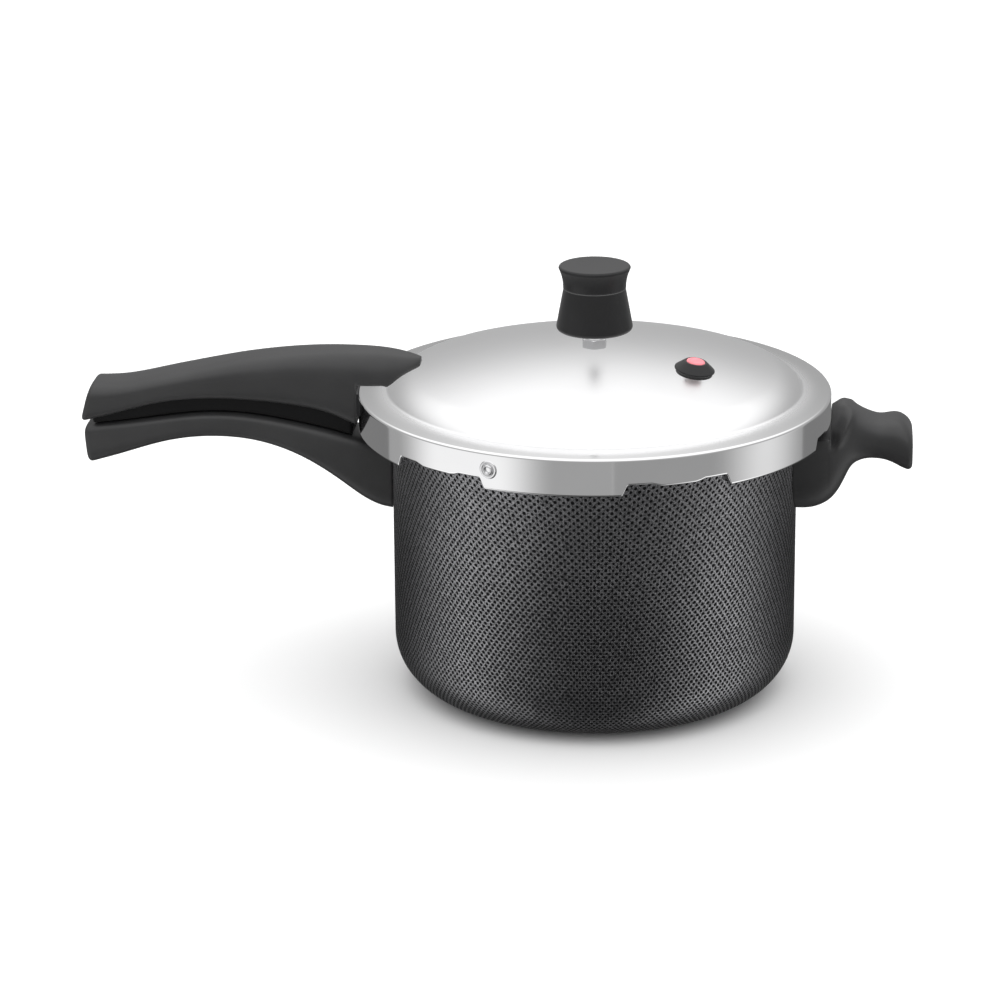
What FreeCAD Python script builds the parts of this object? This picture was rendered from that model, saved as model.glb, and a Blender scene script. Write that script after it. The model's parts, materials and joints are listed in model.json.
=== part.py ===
import FreeCAD, Part
import math
import os
from types import SimpleNamespace

import Sketcher

# Stovetop pressure cooker.  Millimetres, +Z up.  The origin is the centre of the base's
# underside, the long handles point to -X and the helper handle to +X.

V = FreeCAD.Vector

# How far a cutting shape stands out of what it cuts, and how far a rivet's hole is drilled.
OVERCUT = 1.0
DRILL_REACH = 20.0

# Driving dimensions.  Each one is a cell of the sheet, under the same name.
SIZES = {
    # pot
    "pot_radius": 102.0,
    "pot_height": 148.0,
    "pot_wall": 2.0,
    "pot_floor": 4.0,
    "pot_corner": 28.0,
    "rim_overhang": 6.0,
    "rim_thick": 2.8,
    # bayonet lugs on the rim
    "lug_count": 6.0,
    "lug_overhang": 13.0,
    "lug_span": 24.0,
    "lug_drop": 8.8,
    "lug_lip": 2.4,
    "lug_turn": -98.5,
    # lid
    "lid_sheet": 2.2,
    "lid_edge": 2.3,
    "lug_clearance": 1.5,
    "ledge_clearance": 1.2,
    "ledge_gap": 0.7,
    "tab_turn": -96.5,
    "window_span": 26.0,
    "window_depth": 14.2,
    "bulge_span": 11.0,
    "bulge_drop": 1.3,
    "shoulder_width": 14.2,
    "dome_rise": 20.7,
    "knuckle": 25.0,
    "knuckle_slope": 52.0,
    # sealing ring
    "seal_gap": 0.3,
    "gasket_height": 5.5,
    "gasket_arm": 1.7,
    "gasket_web": 3.5,
    # stop rivet in the skirt
    "stop_turn": -111.8,
    "stop_gap": 0.1,
    "stop_shank": 1.7,
    "stop_head": 4.6,
    "stop_reach": 3.3,
    "rivet_head_thick": 1.4,
    # steam vent and needle
    "vent_flange": 5.8,
    "vent_flange_thick": 4.5,
    "vent_stem": 4.2,
    "vent_bore": 1.6,
    "vent_rise": 21.5,
    "vent_below": 9.0,
    "vent_nut_radius": 8.5,
    "vent_nut_thick": 4.5,
    "vent_washer_radius": 8.0,
    "vent_washer_thick": 1.5,
    "needle_collar": 3.6,
    "needle_collar_thick": 1.3,
    "needle_pin": 2.0,
    "needle_length": 11.0,
    "running_gap": 0.05,
    # pressure weight
    "weight_lift_gap": 8.6,
    "weight_height": 33.4,
    "weight_foot": 19.6,
    "weight_foot_edge": 3.2,
    "weight_waist": 15.6,
    "weight_waist_rise": 21.7,
    "weight_crown": 18.0,
    "weight_flare": 22.0,
    "weight_core_radius": 10.5,
    "weight_core_rise": 27.5,
    "weight_clearance": 0.4,
    # safety valve
    "valve_distance": 58.0,
    "valve_turn": -28.8,
    "valve_radius": 10.0,
    "valve_band": 2.3,
    "valve_height": 6.2,
    "valve_crown": 5.4,
    "valve_stem": 6.0,
    "valve_below": 8.0,
    "valve_nut_radius": 9.5,
    "valve_nut_thick": 3.0,
    "plug_radius": 4.6,
    "plug_shank": 3.2,
    "plug_proud": 0.7,
    # handles
    "handle_reach": 138.5,
    "handle_width": 34.0,
    "nose_reach": 32.5,
    "handle_fit_gap": 0.2,
    "helper_reach": 57.5,
    "helper_width": 42.0,
    "turn_gap": 0.8,
    # brackets, their rivets and screws
    "plate_thick": 2.5,
    "bracket_width": 16.0,
    "plate_span": 14.0,
    "rivet_radius": 2.5,
    "rivet_head": 4.8,
    "rivet_flat": 2.9,
    "rivet_span": 7.0,
    "screw_radius": 2.5,
    "screw_head": 4.4,
    "screw_head_thick": 3.0,
    "screw_head_edge": 1.35,
    "screw_head_flat": 3.1,
    "screw_slot": 1.0,
    "screw_slot_radius": 1.3,
    "screw_point": 1.0,
    "screw_proud": 2.0,
    "screw_gap": 0.2,
    "washer_thick": 1.0,
    "recess_radius": 5.6,
    "recess_depth": 60.0,
    "tongue_spare": 9.0,
    # where the fixings lie: drops are below the lid's shoulder
    "pot_plate_low": 58.0,
    "pot_plate_high": 31.0,
    "pot_rivet_drop": 52.0,
    "pot_tongue_drop": 40.0,
    "pot_seat_drop": 44.0,
    "pot_screw_out": 26.0,
    "helper_plate_low": 52.0,
    "helper_plate_high": 26.0,
    "helper_rivet_drop": 46.0,
    "helper_tongue_drop": 31.0,
    "helper_seat_drop": 33.5,
    "helper_screw_out": 22.0,
    "lid_plate_gap": 0.5,
    "lid_rivet_drop": 8.5,
    "lid_tongue_drop": 3.2,
    "lid_seat_drop": 6.2,
    "lid_screw_out": 23.0,
}


class Size:
    """A length or angle with the sheet expression that gives it."""

    def __init__(self, value, text):
        self.value = float(value)
        self.text = text

    def __add__(self, other):
        other = as_size(other)
        return Size(self.value + other.value, "(%s + %s)" % (self.text, other.text))

    def __sub__(self, other):
        other = as_size(other)
        return Size(self.value - other.value, "(%s - %s)" % (self.text, other.text))

    def __mul__(self, other):
        other = as_size(other)
        return Size(self.value * other.value, "(%s * %s)" % (self.text, other.text))

    def __truediv__(self, other):
        other = as_size(other)
        return Size(self.value / other.value, "(%s / %s)" % (self.text, other.text))

    def __radd__(self, other):
        return as_size(other) + self

    def __rsub__(self, other):
        return as_size(other) - self

    def __rmul__(self, other):
        return as_size(other) * self

    def __rtruediv__(self, other):
        return as_size(other) / self

    def __neg__(self):
        return as_size(0) - self


def as_size(number):
    return number if isinstance(number, Size) else Size(number, "%r" % float(number))


def sine(angle):
    return Size(math.sin(math.radians(angle.value)), "sin(%s)" % angle.text)


def cosine(angle):
    return Size(math.cos(math.radians(angle.value)), "cos(%s)" % angle.text)


def root(number):
    return Size(math.sqrt(number.value), "sqrt(%s)" % number.text)


doc = FreeCAD.newDocument("pressure_cooker")


def make_sheet():
    """Write the driving dimensions into the sheet and hand them back by name."""
    sheet = doc.addObject("Spreadsheet::Sheet", "Sizes")
    for row, (name, value) in enumerate(SIZES.items(), 1):
        sheet.set("A%d" % row, name)
        sheet.set("B%d" % row, repr(value))
        sheet.setAlias("B%d" % row, name)
    doc.recompute()
    return SimpleNamespace(**{name: Size(sheet.get(name), "Sizes." + name) for name in SIZES})


s = make_sheet()

# Levels and radii that several pieces share.
lug_radius = s.pot_radius + s.lug_overhang
rim_radius = s.pot_radius + s.rim_overhang
skirt_inner = lug_radius + s.lug_clearance
lid_radius = skirt_inner + s.lid_sheet
lid_under = s.pot_height + s.seal_gap + s.gasket_height
lid_top = lid_under + s.lid_sheet
skirt_foot = s.pot_height - s.lug_drop - s.ledge_gap - s.lid_sheet
stop_level = s.pot_height + s.seal_gap - s.stop_gap - s.stop_shank
ledge_inner = rim_radius + s.ledge_clearance
dome_radius = lid_radius - s.shoulder_width
dome_top = lid_top + s.dome_rise
window_turn = s.tab_turn + 180.0 / s.lug_count

# The dome is a shallow cap that meets a tighter knuckle tangentially.
knuckle_r = dome_radius - s.knuckle * sine(s.knuckle_slope)
knuckle_z = s.knuckle * cosine(s.knuckle_slope)
cap_gap = s.dome_rise + knuckle_z - s.knuckle
cap_radius = (knuckle_r * knuckle_r + cap_gap * cap_gap) / (2 * cap_gap) + s.knuckle
cap_z = dome_top - cap_radius
knuckle_z = lid_top - knuckle_z
join_sine = knuckle_r / (cap_radius - s.knuckle)
join_cosine = root(1 - join_sine * join_sine)


def pin_point(sketch, geometry, end, point):
    """Hold one end of a sketch edge at a point given by two sizes."""
    for kind, axis, size in (("DistanceX", -2, point[0]), ("DistanceY", -1, point[1])):
        if not isinstance(size, Size):
            sketch.addConstraint(Sketcher.Constraint("PointOnObject", geometry, end, axis))
            continue
        index = sketch.addConstraint(
            Sketcher.Constraint(kind, -1, 1, geometry, end, size.value))
        sketch.setExpression("Constraints[%d]" % index, size.text)


def arc_geometry(start, finish, radius, left):
    """The shorter arc between two points, and whether it runs counter-clockwise."""
    chord = finish - start
    middle = (start + finish) * 0.5
    rise = math.sqrt(max(radius ** 2 - chord.Length ** 2 / 4, 0))
    normal = V(-chord.y, chord.x, 0).normalize()
    centre = middle + normal * (rise if left else -rise)
    angles = [math.atan2(p.y - centre.y, p.x - centre.x) for p in (start, finish)]
    circle = Part.Circle(centre, V(0, 0, 1), radius)
    if left:
        return Part.ArcOfCircle(circle, angles[0], angles[1])
    return Part.ArcOfCircle(circle, angles[1], angles[0])


def outline(body, name, start, edges, turn=0, lift=0, plane="XZ_Plane"):
    """A closed outline on one of the body's own planes.

    An edge is (x, z) for a straight run to that point, or (x, z, radius, side) for an arc
    whose centre lies on that side of the way it goes.  The plane may be turned about the
    vertical axis and lifted along it.
    """
    sketch = body.newObject("Sketcher::SketchObject", name)
    support = [f for f in body.Origin.OriginFeatures if f.Role == plane][0]
    sketch.AttachmentSupport = (support, "")
    sketch.MapMode = "FlatFace"
    if isinstance(turn, Size):
        rotation = FreeCAD.Rotation(V(0, 1, 0), turn.value)
        sketch.AttachmentOffset = FreeCAD.Placement(V(0, 0, 0), rotation)
        sketch.setExpression("AttachmentOffset.Rotation.Angle", turn.text)
    if isinstance(lift, Size):
        sketch.setExpression("AttachmentOffset.Base.y", lift.text)
    points = [start] + [edge[:2] for edge in edges]
    spots = [V(as_size(x).value, as_size(z).value, 0) for x, z in points]
    ends = []
    for number, edge in enumerate(edges):
        first, last = spots[number], spots[number + 1]
        if len(edge) == 2:
            sketch.addGeometry(Part.LineSegment(first, last))
            ends.append((1, 2))
            continue
        radius, side = edge[2:]
        left = side == "left"
        sketch.addGeometry(arc_geometry(first, last, radius.value, left))
        ends.append((1, 2) if left else (2, 1))
        index = sketch.addConstraint(Sketcher.Constraint("Radius", number, radius.value))
        sketch.setExpression("Constraints[%d]" % index, radius.text)
    sketch.addGeometry(Part.LineSegment(spots[-1], spots[0]))
    ends.append((1, 2))
    for number, (begin, end) in enumerate(ends):
        after = (number + 1) % len(ends)
        pin_point(sketch, number, begin, points[number])
        sketch.addConstraint(Sketcher.Constraint("Coincident", number, end, after, ends[after][0]))
    doc.recompute()
    return sketch


def new_body(name):
    return doc.addObject("PartDesign::Body", name)


def axis_of(body, role):
    return ([f for f in body.Origin.OriginFeatures if f.Role == role][0], [""])


def revolve(body, name, sketch, span=None, axis="V_Axis", cut=False):
    """Turn an outline about the sketch's own axis: the whole way, or a span both ways."""
    kind = "PartDesign::Groove" if cut else "PartDesign::Revolution"
    feature = body.newObject(kind, name)
    feature.Profile = sketch
    feature.ReferenceAxis = (sketch, [axis])
    feature.Angle = 360
    if span is not None:
        feature.Midplane = True
        feature.Angle = span.value
        feature.setExpression("Angle", span.text)
    sketch.Visibility = False
    body.Tip = feature
    doc.recompute()
    return feature


def ring_pattern(body, name, features, count, span=None):
    """Repeat features about the vertical axis, evenly, or over a span in degrees."""
    pattern = body.newObject("PartDesign::PolarPattern", name)
    pattern.Originals = features
    pattern.Axis = axis_of(body, "Z_Axis")
    pattern.Angle = 360
    if span is not None:
        pattern.setExpression("Angle", span.text)
    pattern.Occurrences = int(count.value)
    if isinstance(count, Size) and count.text.startswith("Sizes"):
        pattern.setExpression("Occurrences", count.text)
    body.Tip = pattern
    doc.recompute()
    return pattern


def box_edges(low_r, high_r, low_z, high_z):
    """A plain rectangle as an outline's start and edges."""
    return (low_r, low_z), [(high_r, low_z), (high_r, high_z), (low_r, high_z)]


def turned(name, start, edges, turn=0, lift=0, axis="V_Axis"):
    """A body that is one turned solid."""
    body = new_body(name)
    revolve(body, name + "_turning", outline(body, name + "_outline", start, edges, turn, lift), axis=axis)
    return body


def cut_from(name, base, tools):
    """The base with every tool taken away."""
    tool = tools[0]
    if len(tools) > 1:
        tool = doc.addObject("Part::MultiFuse", name + "_tools")
        tool.Shapes = tools
    cut = doc.addObject("Part::Cut", name)
    cut.Base = base
    cut.Tool = tool
    doc.recompute()
    return cut


def cylinder(name, radius, low, high, x=0):
    """An upright cylinder between two levels, with its axis at x."""
    item = doc.addObject("Part::Cylinder", name)
    item.setExpression("Radius", as_size(radius).text)
    item.setExpression("Height", (high - low).text)
    item.setExpression("Placement.Base.x", as_size(x).text)
    item.setExpression("Placement.Base.z", low.text)
    return item


# ---------------------------------------------------------------- pot


def make_pot():
    """Deep-drawn pot: floor, rounded corner, wall, rim flange and hooked lugs."""
    body = new_body("pot_shell")
    inner = s.pot_radius - s.pot_wall
    inner_corner = s.pot_corner - s.pot_wall
    rim_under = s.pot_height - s.rim_thick
    start = (0, 0)
    edges = [
        (s.pot_radius - s.pot_corner, 0),
        (s.pot_radius, s.pot_corner, s.pot_corner, "left"),
        (s.pot_radius, rim_under),
        (rim_radius, rim_under),
        (rim_radius, s.pot_height),
        (inner, s.pot_height),
        (inner, s.pot_floor + inner_corner),
        (inner - inner_corner, s.pot_floor, inner_corner, "right"),
        (0, s.pot_floor),
    ]
    revolve(body, "pot_drawing", outline(body, "pot_outline", start, edges))
    lug_start = (rim_radius - 1, rim_under)
    lug_edges = [
        (lug_radius - s.lug_lip, rim_under),
        (lug_radius - s.lug_lip, s.pot_height - s.lug_drop),
        (lug_radius, s.pot_height - s.lug_drop),
        (lug_radius, s.pot_height),
        (rim_radius - 1, s.pot_height),
    ]
    lug_sketch = outline(body, "lug_outline", lug_start, lug_edges, turn=s.lug_turn)
    lug = revolve(body, "lug", lug_sketch, span=s.lug_span)
    ring_pattern(body, "lugs", [lug], s.lug_count)
    return body


def wall_holes(name, turn, level, face_radius):
    """Two radial rivet holes, side by side through a wall and its plate."""
    body = new_body(name)
    inside = face_radius - DRILL_REACH
    outside = face_radius + DRILL_REACH
    start = (inside, 0)
    edges = [(outside, 0), (outside, s.rivet_radius), (inside, s.rivet_radius)]
    sketch = outline(body, name + "_outline", start, edges, turn - s.rivet_span / 2, level)
    hole = revolve(body, name + "_hole", sketch, axis="H_Axis")
    ring_pattern(body, name + "_pair", [hole], as_size(2), s.rivet_span)
    return body


def rivet_pair(name, turn, level, inside, outside, flush=False):
    """Two radial rivets that clamp a plate to a wall, from an inner to an outer face."""
    body = new_body(name)
    head = s.rivet_head
    tall = s.rivet_head_thick
    start = (outside + tall, 0)
    edges = [(outside + tall, s.rivet_flat), (outside, head), (outside, s.rivet_radius)]
    if flush:
        edges += [(inside, s.rivet_radius), (inside, 0)]
    else:
        # The inner head is flat, so it is its rim that rests on the hollow wall.
        seat = root(inside * inside - head * head)
        edges += [(seat, s.rivet_radius), (seat, head), (seat - tall, s.rivet_flat), (seat - tall, 0)]
    sketch = outline(body, name + "_outline", start, edges, turn - s.rivet_span / 2, level)
    rivet = revolve(body, name + "_one", sketch, axis="H_Axis")
    ring_pattern(body, name + "_two", [rivet], as_size(2), s.rivet_span)
    return body


def make_bracket(name, turn, face, low, high, tongue_low, tongue_end, screw_at, holes):
    """A plate bent to the wall, with a tongue that runs out into the handle.

    tongue_end and screw_at are distances from the pot's axis.
    """
    body = new_body(name + "_blank")
    start, edges = box_edges(face, face + s.plate_thick, low, high)
    revolve(body, name + "_plate", outline(body, name + "_plate_outline", start, edges, turn), s.plate_span)
    tongue = doc.addObject("Part::Box", name + "_tongue")
    tongue.setExpression("Length", (tongue_end - face - s.plate_thick / 2).text)
    tongue.setExpression("Width", s.bracket_width.text)
    tongue.setExpression("Height", s.plate_thick.text)
    backwards = abs(turn.value) > 90
    near = -tongue_end if backwards else face + s.plate_thick / 2
    tongue.setExpression("Placement.Base.x", near.text)
    tongue.setExpression("Placement.Base.y", (-s.bracket_width / 2).text)
    tongue.setExpression("Placement.Base.z", tongue_low.text)
    whole = doc.addObject("Part::MultiFuse", name + "_whole")
    whole.Shapes = [body, tongue]
    screw_x = -screw_at if backwards else screw_at
    bore = cylinder(
        name + "_bore", s.screw_radius, tongue_low - OVERCUT, tongue_low + s.plate_thick + OVERCUT, screw_x)
    return cut_from(name, whole, [bore, holes])


def make_screw(name, screw_x, seat, tip):
    """A pan-head screw pushed up from below: head under the seat, shank up to the tip."""
    body = new_body(name)
    head_top = seat - s.washer_thick
    head_low = head_top - s.screw_head_thick
    start = (0, head_low + s.screw_slot)
    edges = [
        (s.screw_slot_radius, head_low + s.screw_slot),
        (s.screw_slot_radius, head_low),
        (s.screw_head_flat, head_low),
        (s.screw_head, head_low + s.screw_head_edge),
        (s.screw_head, head_top),
        (s.screw_radius, head_top),
        (s.screw_radius, tip - s.screw_point),
        (s.screw_radius - s.screw_point, tip),
        (0, tip),
    ]
    revolve(body, name + "_turning", outline(body, name + "_outline", start, edges))
    body.setExpression("Placement.Base.x", screw_x.text)
    return body


def make_washer(name, screw_x, seat):
    """A flat washer between the screw's head and the handle."""
    body = new_body(name)
    bore = s.screw_radius + s.screw_gap
    start, edges = box_edges(bore, s.recess_radius - s.screw_gap, seat - s.washer_thick, seat)
    revolve(body, name + "_turning", outline(body, name + "_outline", start, edges))
    body.setExpression("Placement.Base.x", screw_x.text)
    return body


def screw_cuts(name, screw_x, low, seat, tip):
    """The recess for the head and the clearance hole for the shank."""
    recess = cylinder(name + "_recess", s.recess_radius, low, seat, screw_x)
    hole = cylinder(
        name + "_hole", s.screw_radius + s.screw_gap, seat - OVERCUT, tip + s.screw_point, screw_x)
    return [recess, hole]


def make_fixing(name, turn, face, inside, plate, drops, screw_out, flush=False):
    """The bracket, rivets, screw and washer that hold a grip to a wall.

    plate is the levels between which the bracket lies on the wall.  drops are how far the
    rivets, the tongue and the screw's seat lie below the lid's shoulder.
    """
    rivet_level, tongue_low, seat = [lid_top - drop for drop in drops]
    screw_at = face + screw_out
    screw_x = -screw_at if abs(turn.value) > 90 else screw_at
    tip = tongue_low + s.plate_thick + s.screw_proud
    holes = wall_holes(name + "_rivet_holes", turn, rivet_level, face)
    bracket = make_bracket(
        name + "_bracket", turn, face, plate[0], plate[1], tongue_low, screw_at + s.tongue_spare,
        screw_at, holes)
    rivets = rivet_pair(name + "_rivets", turn, rivet_level, inside, face + s.plate_thick, flush)
    screw = make_screw(name + "_screw", screw_x, seat, tip)
    washer = make_washer(name + "_washer", screw_x, seat)
    cuts = screw_cuts(name + "_screw", screw_x, lid_top - s.recess_depth, seat, tip)
    return SimpleNamespace(
        holes=holes, cuts=[bracket, rivets] + cuts, pieces=[bracket, rivets, screw, washer])


# ---------------------------------------------------------------- moulded grips


def ring_wire(centre_x, low, high, half, lean, boxy_top, boxy_low):
    """A closed section of a grip: rounded above and squarer below.

    Width and height follow powers of the sine and cosine of the way round, and the plane
    leans forward with height.
    """
    count = 28
    middle = (low + high) / 2
    tall = (high - low) / 2
    points = []
    for step in range(count):
        angle = 2 * math.pi * (step + 0.5) / count
        power = 2.0 / (boxy_top if math.sin(angle) > 0 else boxy_low)
        across = half * math.copysign(abs(math.cos(angle)) ** power, math.cos(angle))
        up = tall * math.copysign(abs(math.sin(angle)) ** power, math.sin(angle))
        points.append(V(centre_x + lean * up, across, middle + up))
    curve = Part.BSplineCurve()
    curve.interpolate(Points=points, PeriodicFlag=True)
    return Part.Wire([curve.toShape()])


def curve_height(points):
    """A function that gives the height of the natural cubic curve through a few points."""
    xs = [p[0] for p in points]
    zs = [p[1] for p in points]
    count = len(points)
    steps = [xs[i + 1] - xs[i] for i in range(count - 1)]
    slopes = [(zs[i + 1] - zs[i]) / steps[i] for i in range(count - 1)]
    diagonal = [1.0] * count
    right = [0.0] * count
    for i in range(1, count - 1):
        below = steps[i - 1]
        diagonal[i] = 2 * (steps[i - 1] + steps[i])
        right[i] = 6 * (slopes[i] - slopes[i - 1])
        if i > 1:
            share = below / diagonal[i - 1]
            diagonal[i] -= share * steps[i - 1]
            right[i] -= share * right[i - 1]
    bends = [0.0] * count
    for i in range(count - 2, 0, -1):
        bends[i] = (right[i] - steps[i] * bends[i + 1]) / diagonal[i]

    def height(x):
        i = max(j for j in range(count - 1) if x >= xs[j] or j == 0)
        step, after, before = steps[i], xs[i + 1] - x, x - xs[i]
        bend = (bends[i] * after ** 3 + bends[i + 1] * before ** 3) / (6 * step)
        left = (zs[i] / step - bends[i] * step / 6) * after
        right_part = (zs[i + 1] / step - bends[i + 1] * step / 6) * before
        return bend + left + right_part

    return height


def moulded_grip(name, stations, top, bottom, half, lean, boxy_top, boxy_low):
    """A grip lofted through sections at distances along X.

    top, bottom and half are functions of x; lean is the forward tilt at each station.
    """
    wires = []
    for x in stations:
        wires.append(ring_wire(x, bottom(x), top(x), half(x), lean(x), boxy_top, boxy_low))
    grip = doc.addObject("Part::Feature", name)
    grip.Shape = Part.makeLoft(wires, True, False)
    return grip


def mirrored_heights(points, level):
    """Heights above a level, given outward distances, as (x, z) pairs on the -X side."""
    edge = lid_radius.value
    length = s.handle_reach.value
    return [(-edge - share * length, level + rise) for share, rise in points]


# Shares of the handle's reach beyond the skirt, with heights above the lid's shoulder.
UPPER_TOP = [(0.99, -0.4), (0.88, 0.2), (0.73, 4.2), (0.58, 8.8), (0.44, 12.8), (0.29, 15.9),
             (0.14, 17.6), (0.0, 17.8), (-0.15, 16.0), (-0.235, 13.4)]
UPPER_LOW = [(1.0, -20.0), (0.9, -16.2), (0.75, -10.2), (0.62, -7.4), (0.5, -6.8), (0.38, -7.6),
             (0.2, -10.5), (0.1, -14.0), (0.0, -20.0), (-0.235, -22.0)]
LOWER_TOP = [(1.0, -21.6), (0.87, -19.6), (0.72, -16.6), (0.57, -14.1), (0.5, -13.8), (0.39, -14.7),
             (0.21, -18.9), (0.1, -22.3), (0.0, -25.8), (-0.13, -29.5)]
LOWER_LOW = [(0.99, -42.2), (0.87, -37.0), (0.72, -30.5), (0.58, -27.3), (0.5, -27.0), (0.36, -29.3),
             (0.21, -37.0), (0.07, -49.5), (-0.07, -62.3), (-0.13, -64.2)]

# Slant of the free ends: inward with height above, slightly outward below.
UPPER_SLANT = 0.27
LOWER_SLANT = -0.08


def handle_lean(slant):
    """The sections lean more towards the free end, whose face slants by this much."""
    length = s.handle_reach.value
    return lambda x: slant * max(0.0, (-x - lid_radius.value) / length) ** 4


def make_upper_grip():
    """Lid handle: a crowned grip that narrows to a nose over the dome."""
    level = lid_top.value
    top = curve_height(sorted(mirrored_heights(UPPER_TOP, level)))
    low = curve_height(sorted(mirrored_heights(UPPER_LOW, level)))
    edge = lid_radius.value
    length = s.handle_reach.value
    nose = s.nose_reach.value
    wide = s.handle_width.value / 2

    def half(x):
        inward = (x + edge) / nose
        if inward <= 0:
            return wide
        return wide * math.sqrt(max(1 - min(inward, 0.995) ** 2.2, 0.0))

    shares = [-1.0, -0.985, -0.93, -0.82, -0.68, -0.54, -0.4, -0.26, -0.13, 0.0]
    stations = [-edge + share * length for share in shares]
    stations += [-edge + nose * share for share in (0.2, 0.4, 0.6, 0.78, 0.9, 0.96, 0.99)]
    return moulded_grip("lid_grip", stations, top, low, half, handle_lean(UPPER_SLANT), 3.0, 5.0)


def make_lower_grip():
    """Pot handle: a flatter-topped grip whose root deepens down the pot's wall."""
    level = lid_top.value
    top = curve_height(sorted(mirrored_heights(LOWER_TOP, level)))
    low = curve_height(sorted(mirrored_heights(LOWER_LOW, level)))
    edge = lid_radius.value
    length = s.handle_reach.value
    wide = s.handle_width.value / 2
    shares = [-1.0, -0.985, -0.93, -0.82, -0.68, -0.54, -0.4, -0.28, -0.17, -0.07, 0.03, 0.08]
    stations = [-edge + share * length for share in shares]
    stations.append(-s.pot_radius.value + 2)
    return moulded_grip("pot_grip", stations, top, low, lambda x: wide, handle_lean(LOWER_SLANT), 6.0, 3.5)


# Distances beyond the pot's wall, with heights above the lid's shoulder, and half widths.
HELPER_TOP = [(-3.0, -16.0), (10.0, -12.0), (18.5, -7.2), (23.2, -5.2), (28.5, -8.0), (36.2, -12.0),
              (41.9, -13.4), (48.9, -12.8), (53.4, -14.5), (57.5, -18.5)]
HELPER_LOW = [(-3.0, -60.0), (7.7, -59.8), (14.1, -57.4), (19.6, -52.4), (23.5, -45.4), (26.5, -39.0),
              (30.4, -35.2), (37.9, -33.4), (47.5, -35.0), (54.8, -38.2), (57.5, -38.5)]
HELPER_HALF = [(-3.0, 1.0), (12.0, 1.0), (22.0, 0.93), (30.0, 0.78), (38.0, 0.74), (48.0, 0.86),
               (57.5, 0.95)]


def make_helper_grip():
    """Helper handle: a block on the wall, a horn outside the lid, a waist and a flared end."""
    level = lid_top.value
    wall = s.pot_radius.value
    stretch = s.helper_reach.value / SIZES["helper_reach"]
    wide = s.helper_width.value / 2
    top = curve_height([(wall + x * stretch, level + z) for x, z in HELPER_TOP])
    low = curve_height([(wall + x * stretch, level + z) for x, z in HELPER_LOW])
    half = curve_height([(wall + x * stretch, wide * share) for x, share in HELPER_HALF])
    reach = s.helper_reach.value
    stations = [wall - 2 + (reach + 2) * step / 15.0 for step in range(15)]
    stations += [wall + reach * 0.985, wall + reach]
    return moulded_grip("helper_grip", stations, top, low, half, lambda x: 0.0, 3.0, 2.6)


# ---------------------------------------------------------------- lid


def dome_edges(offset, base_z):
    """The dome from its foot to the axis, moved inward by an offset, as outline edges."""
    knuckle = s.knuckle - offset
    cap = cap_radius - offset
    rise = base_z - knuckle_z
    foot = (knuckle_r + root(knuckle * knuckle - rise * rise), base_z)
    join = (knuckle_r + knuckle * join_sine, knuckle_z + knuckle * join_cosine)
    return [foot, join + (knuckle, "left"), (0, cap_z + cap, cap, "left")]


def make_lid_shell(holes):
    """Pressed lid: dome, flat shoulder, skirt, and tabs whose ledges hook under the lugs."""
    body = new_body("lid_pressing")
    edge = s.lid_edge
    ledge_top = skirt_foot + s.lid_sheet
    inner = dome_edges(s.lid_sheet, lid_under)
    outer = dome_edges(as_size(0), lid_top)
    start = inner[2][:2]
    edges = [
        inner[1][:2] + (cap_radius - s.lid_sheet, "right"),
        inner[0] + (s.knuckle - s.lid_sheet, "right"),
        (skirt_inner, lid_under),
        (skirt_inner, ledge_top),
        (ledge_inner, ledge_top),
        (ledge_inner, skirt_foot),
        (lid_radius, skirt_foot),
        (lid_radius, lid_top - edge),
        (lid_radius - edge, lid_top, edge, "left"),
        outer[0],
        outer[1],
        outer[2],
    ]
    revolve(body, "lid_turning", outline(body, "lid_outline", start, edges))
    window_top = lid_top - s.window_depth
    start, edges = box_edges(ledge_inner - 1, lid_radius + 1, skirt_foot - 1, window_top - s.bulge_drop)
    window_sketch = outline(body, "window_outline", start, edges, turn=window_turn)
    window = revolve(body, "window", window_sketch, span=s.window_span, cut=True)
    ring_pattern(body, "windows", [window], s.lug_count)
    side_span = (s.window_span - s.bulge_span) / 2
    for sign, label in ((1, "after"), (-1, "before")):
        turn = window_turn + sign * (s.bulge_span + side_span) / 2
        start, edges = box_edges(
            skirt_inner - 1, lid_radius + 1, window_top - s.bulge_drop - 1, window_top)
        side_sketch = outline(body, "step_outline_" + label, start, edges, turn=turn)
        side = revolve(body, "step_" + label, side_sketch, span=side_span, cut=True)
        ring_pattern(body, "steps_" + label, [side], s.lug_count)
    return cut_from("lid_shell", body, holes)


def make_lid_envelope():
    """The space that the lid fills, a fit gap larger, for shaping the handle's nose."""
    gap = s.handle_fit_gap
    outer = dome_edges(-gap, lid_top + gap)
    low = skirt_foot - 40
    edges = [(lid_radius + gap, low), (lid_radius + gap, lid_top + gap)] + outer
    return turned("lid_envelope", (0, low), edges)


def make_gasket():
    """Channel-shaped sealing ring that opens towards the steam."""
    outer = skirt_inner - s.handle_fit_gap
    inner = dome_radius - 0.5
    low = s.pot_height + s.seal_gap
    edges = [
        (outer, low),
        (outer, lid_under),
        (inner, lid_under),
        (inner, lid_under - s.gasket_arm),
        (outer - s.gasket_web, lid_under - s.gasket_arm),
        (outer - s.gasket_web, low + s.gasket_arm),
        (inner - 1, low + s.gasket_arm),
    ]
    return turned("sealing_gasket", (inner - 1, low), edges)


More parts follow.
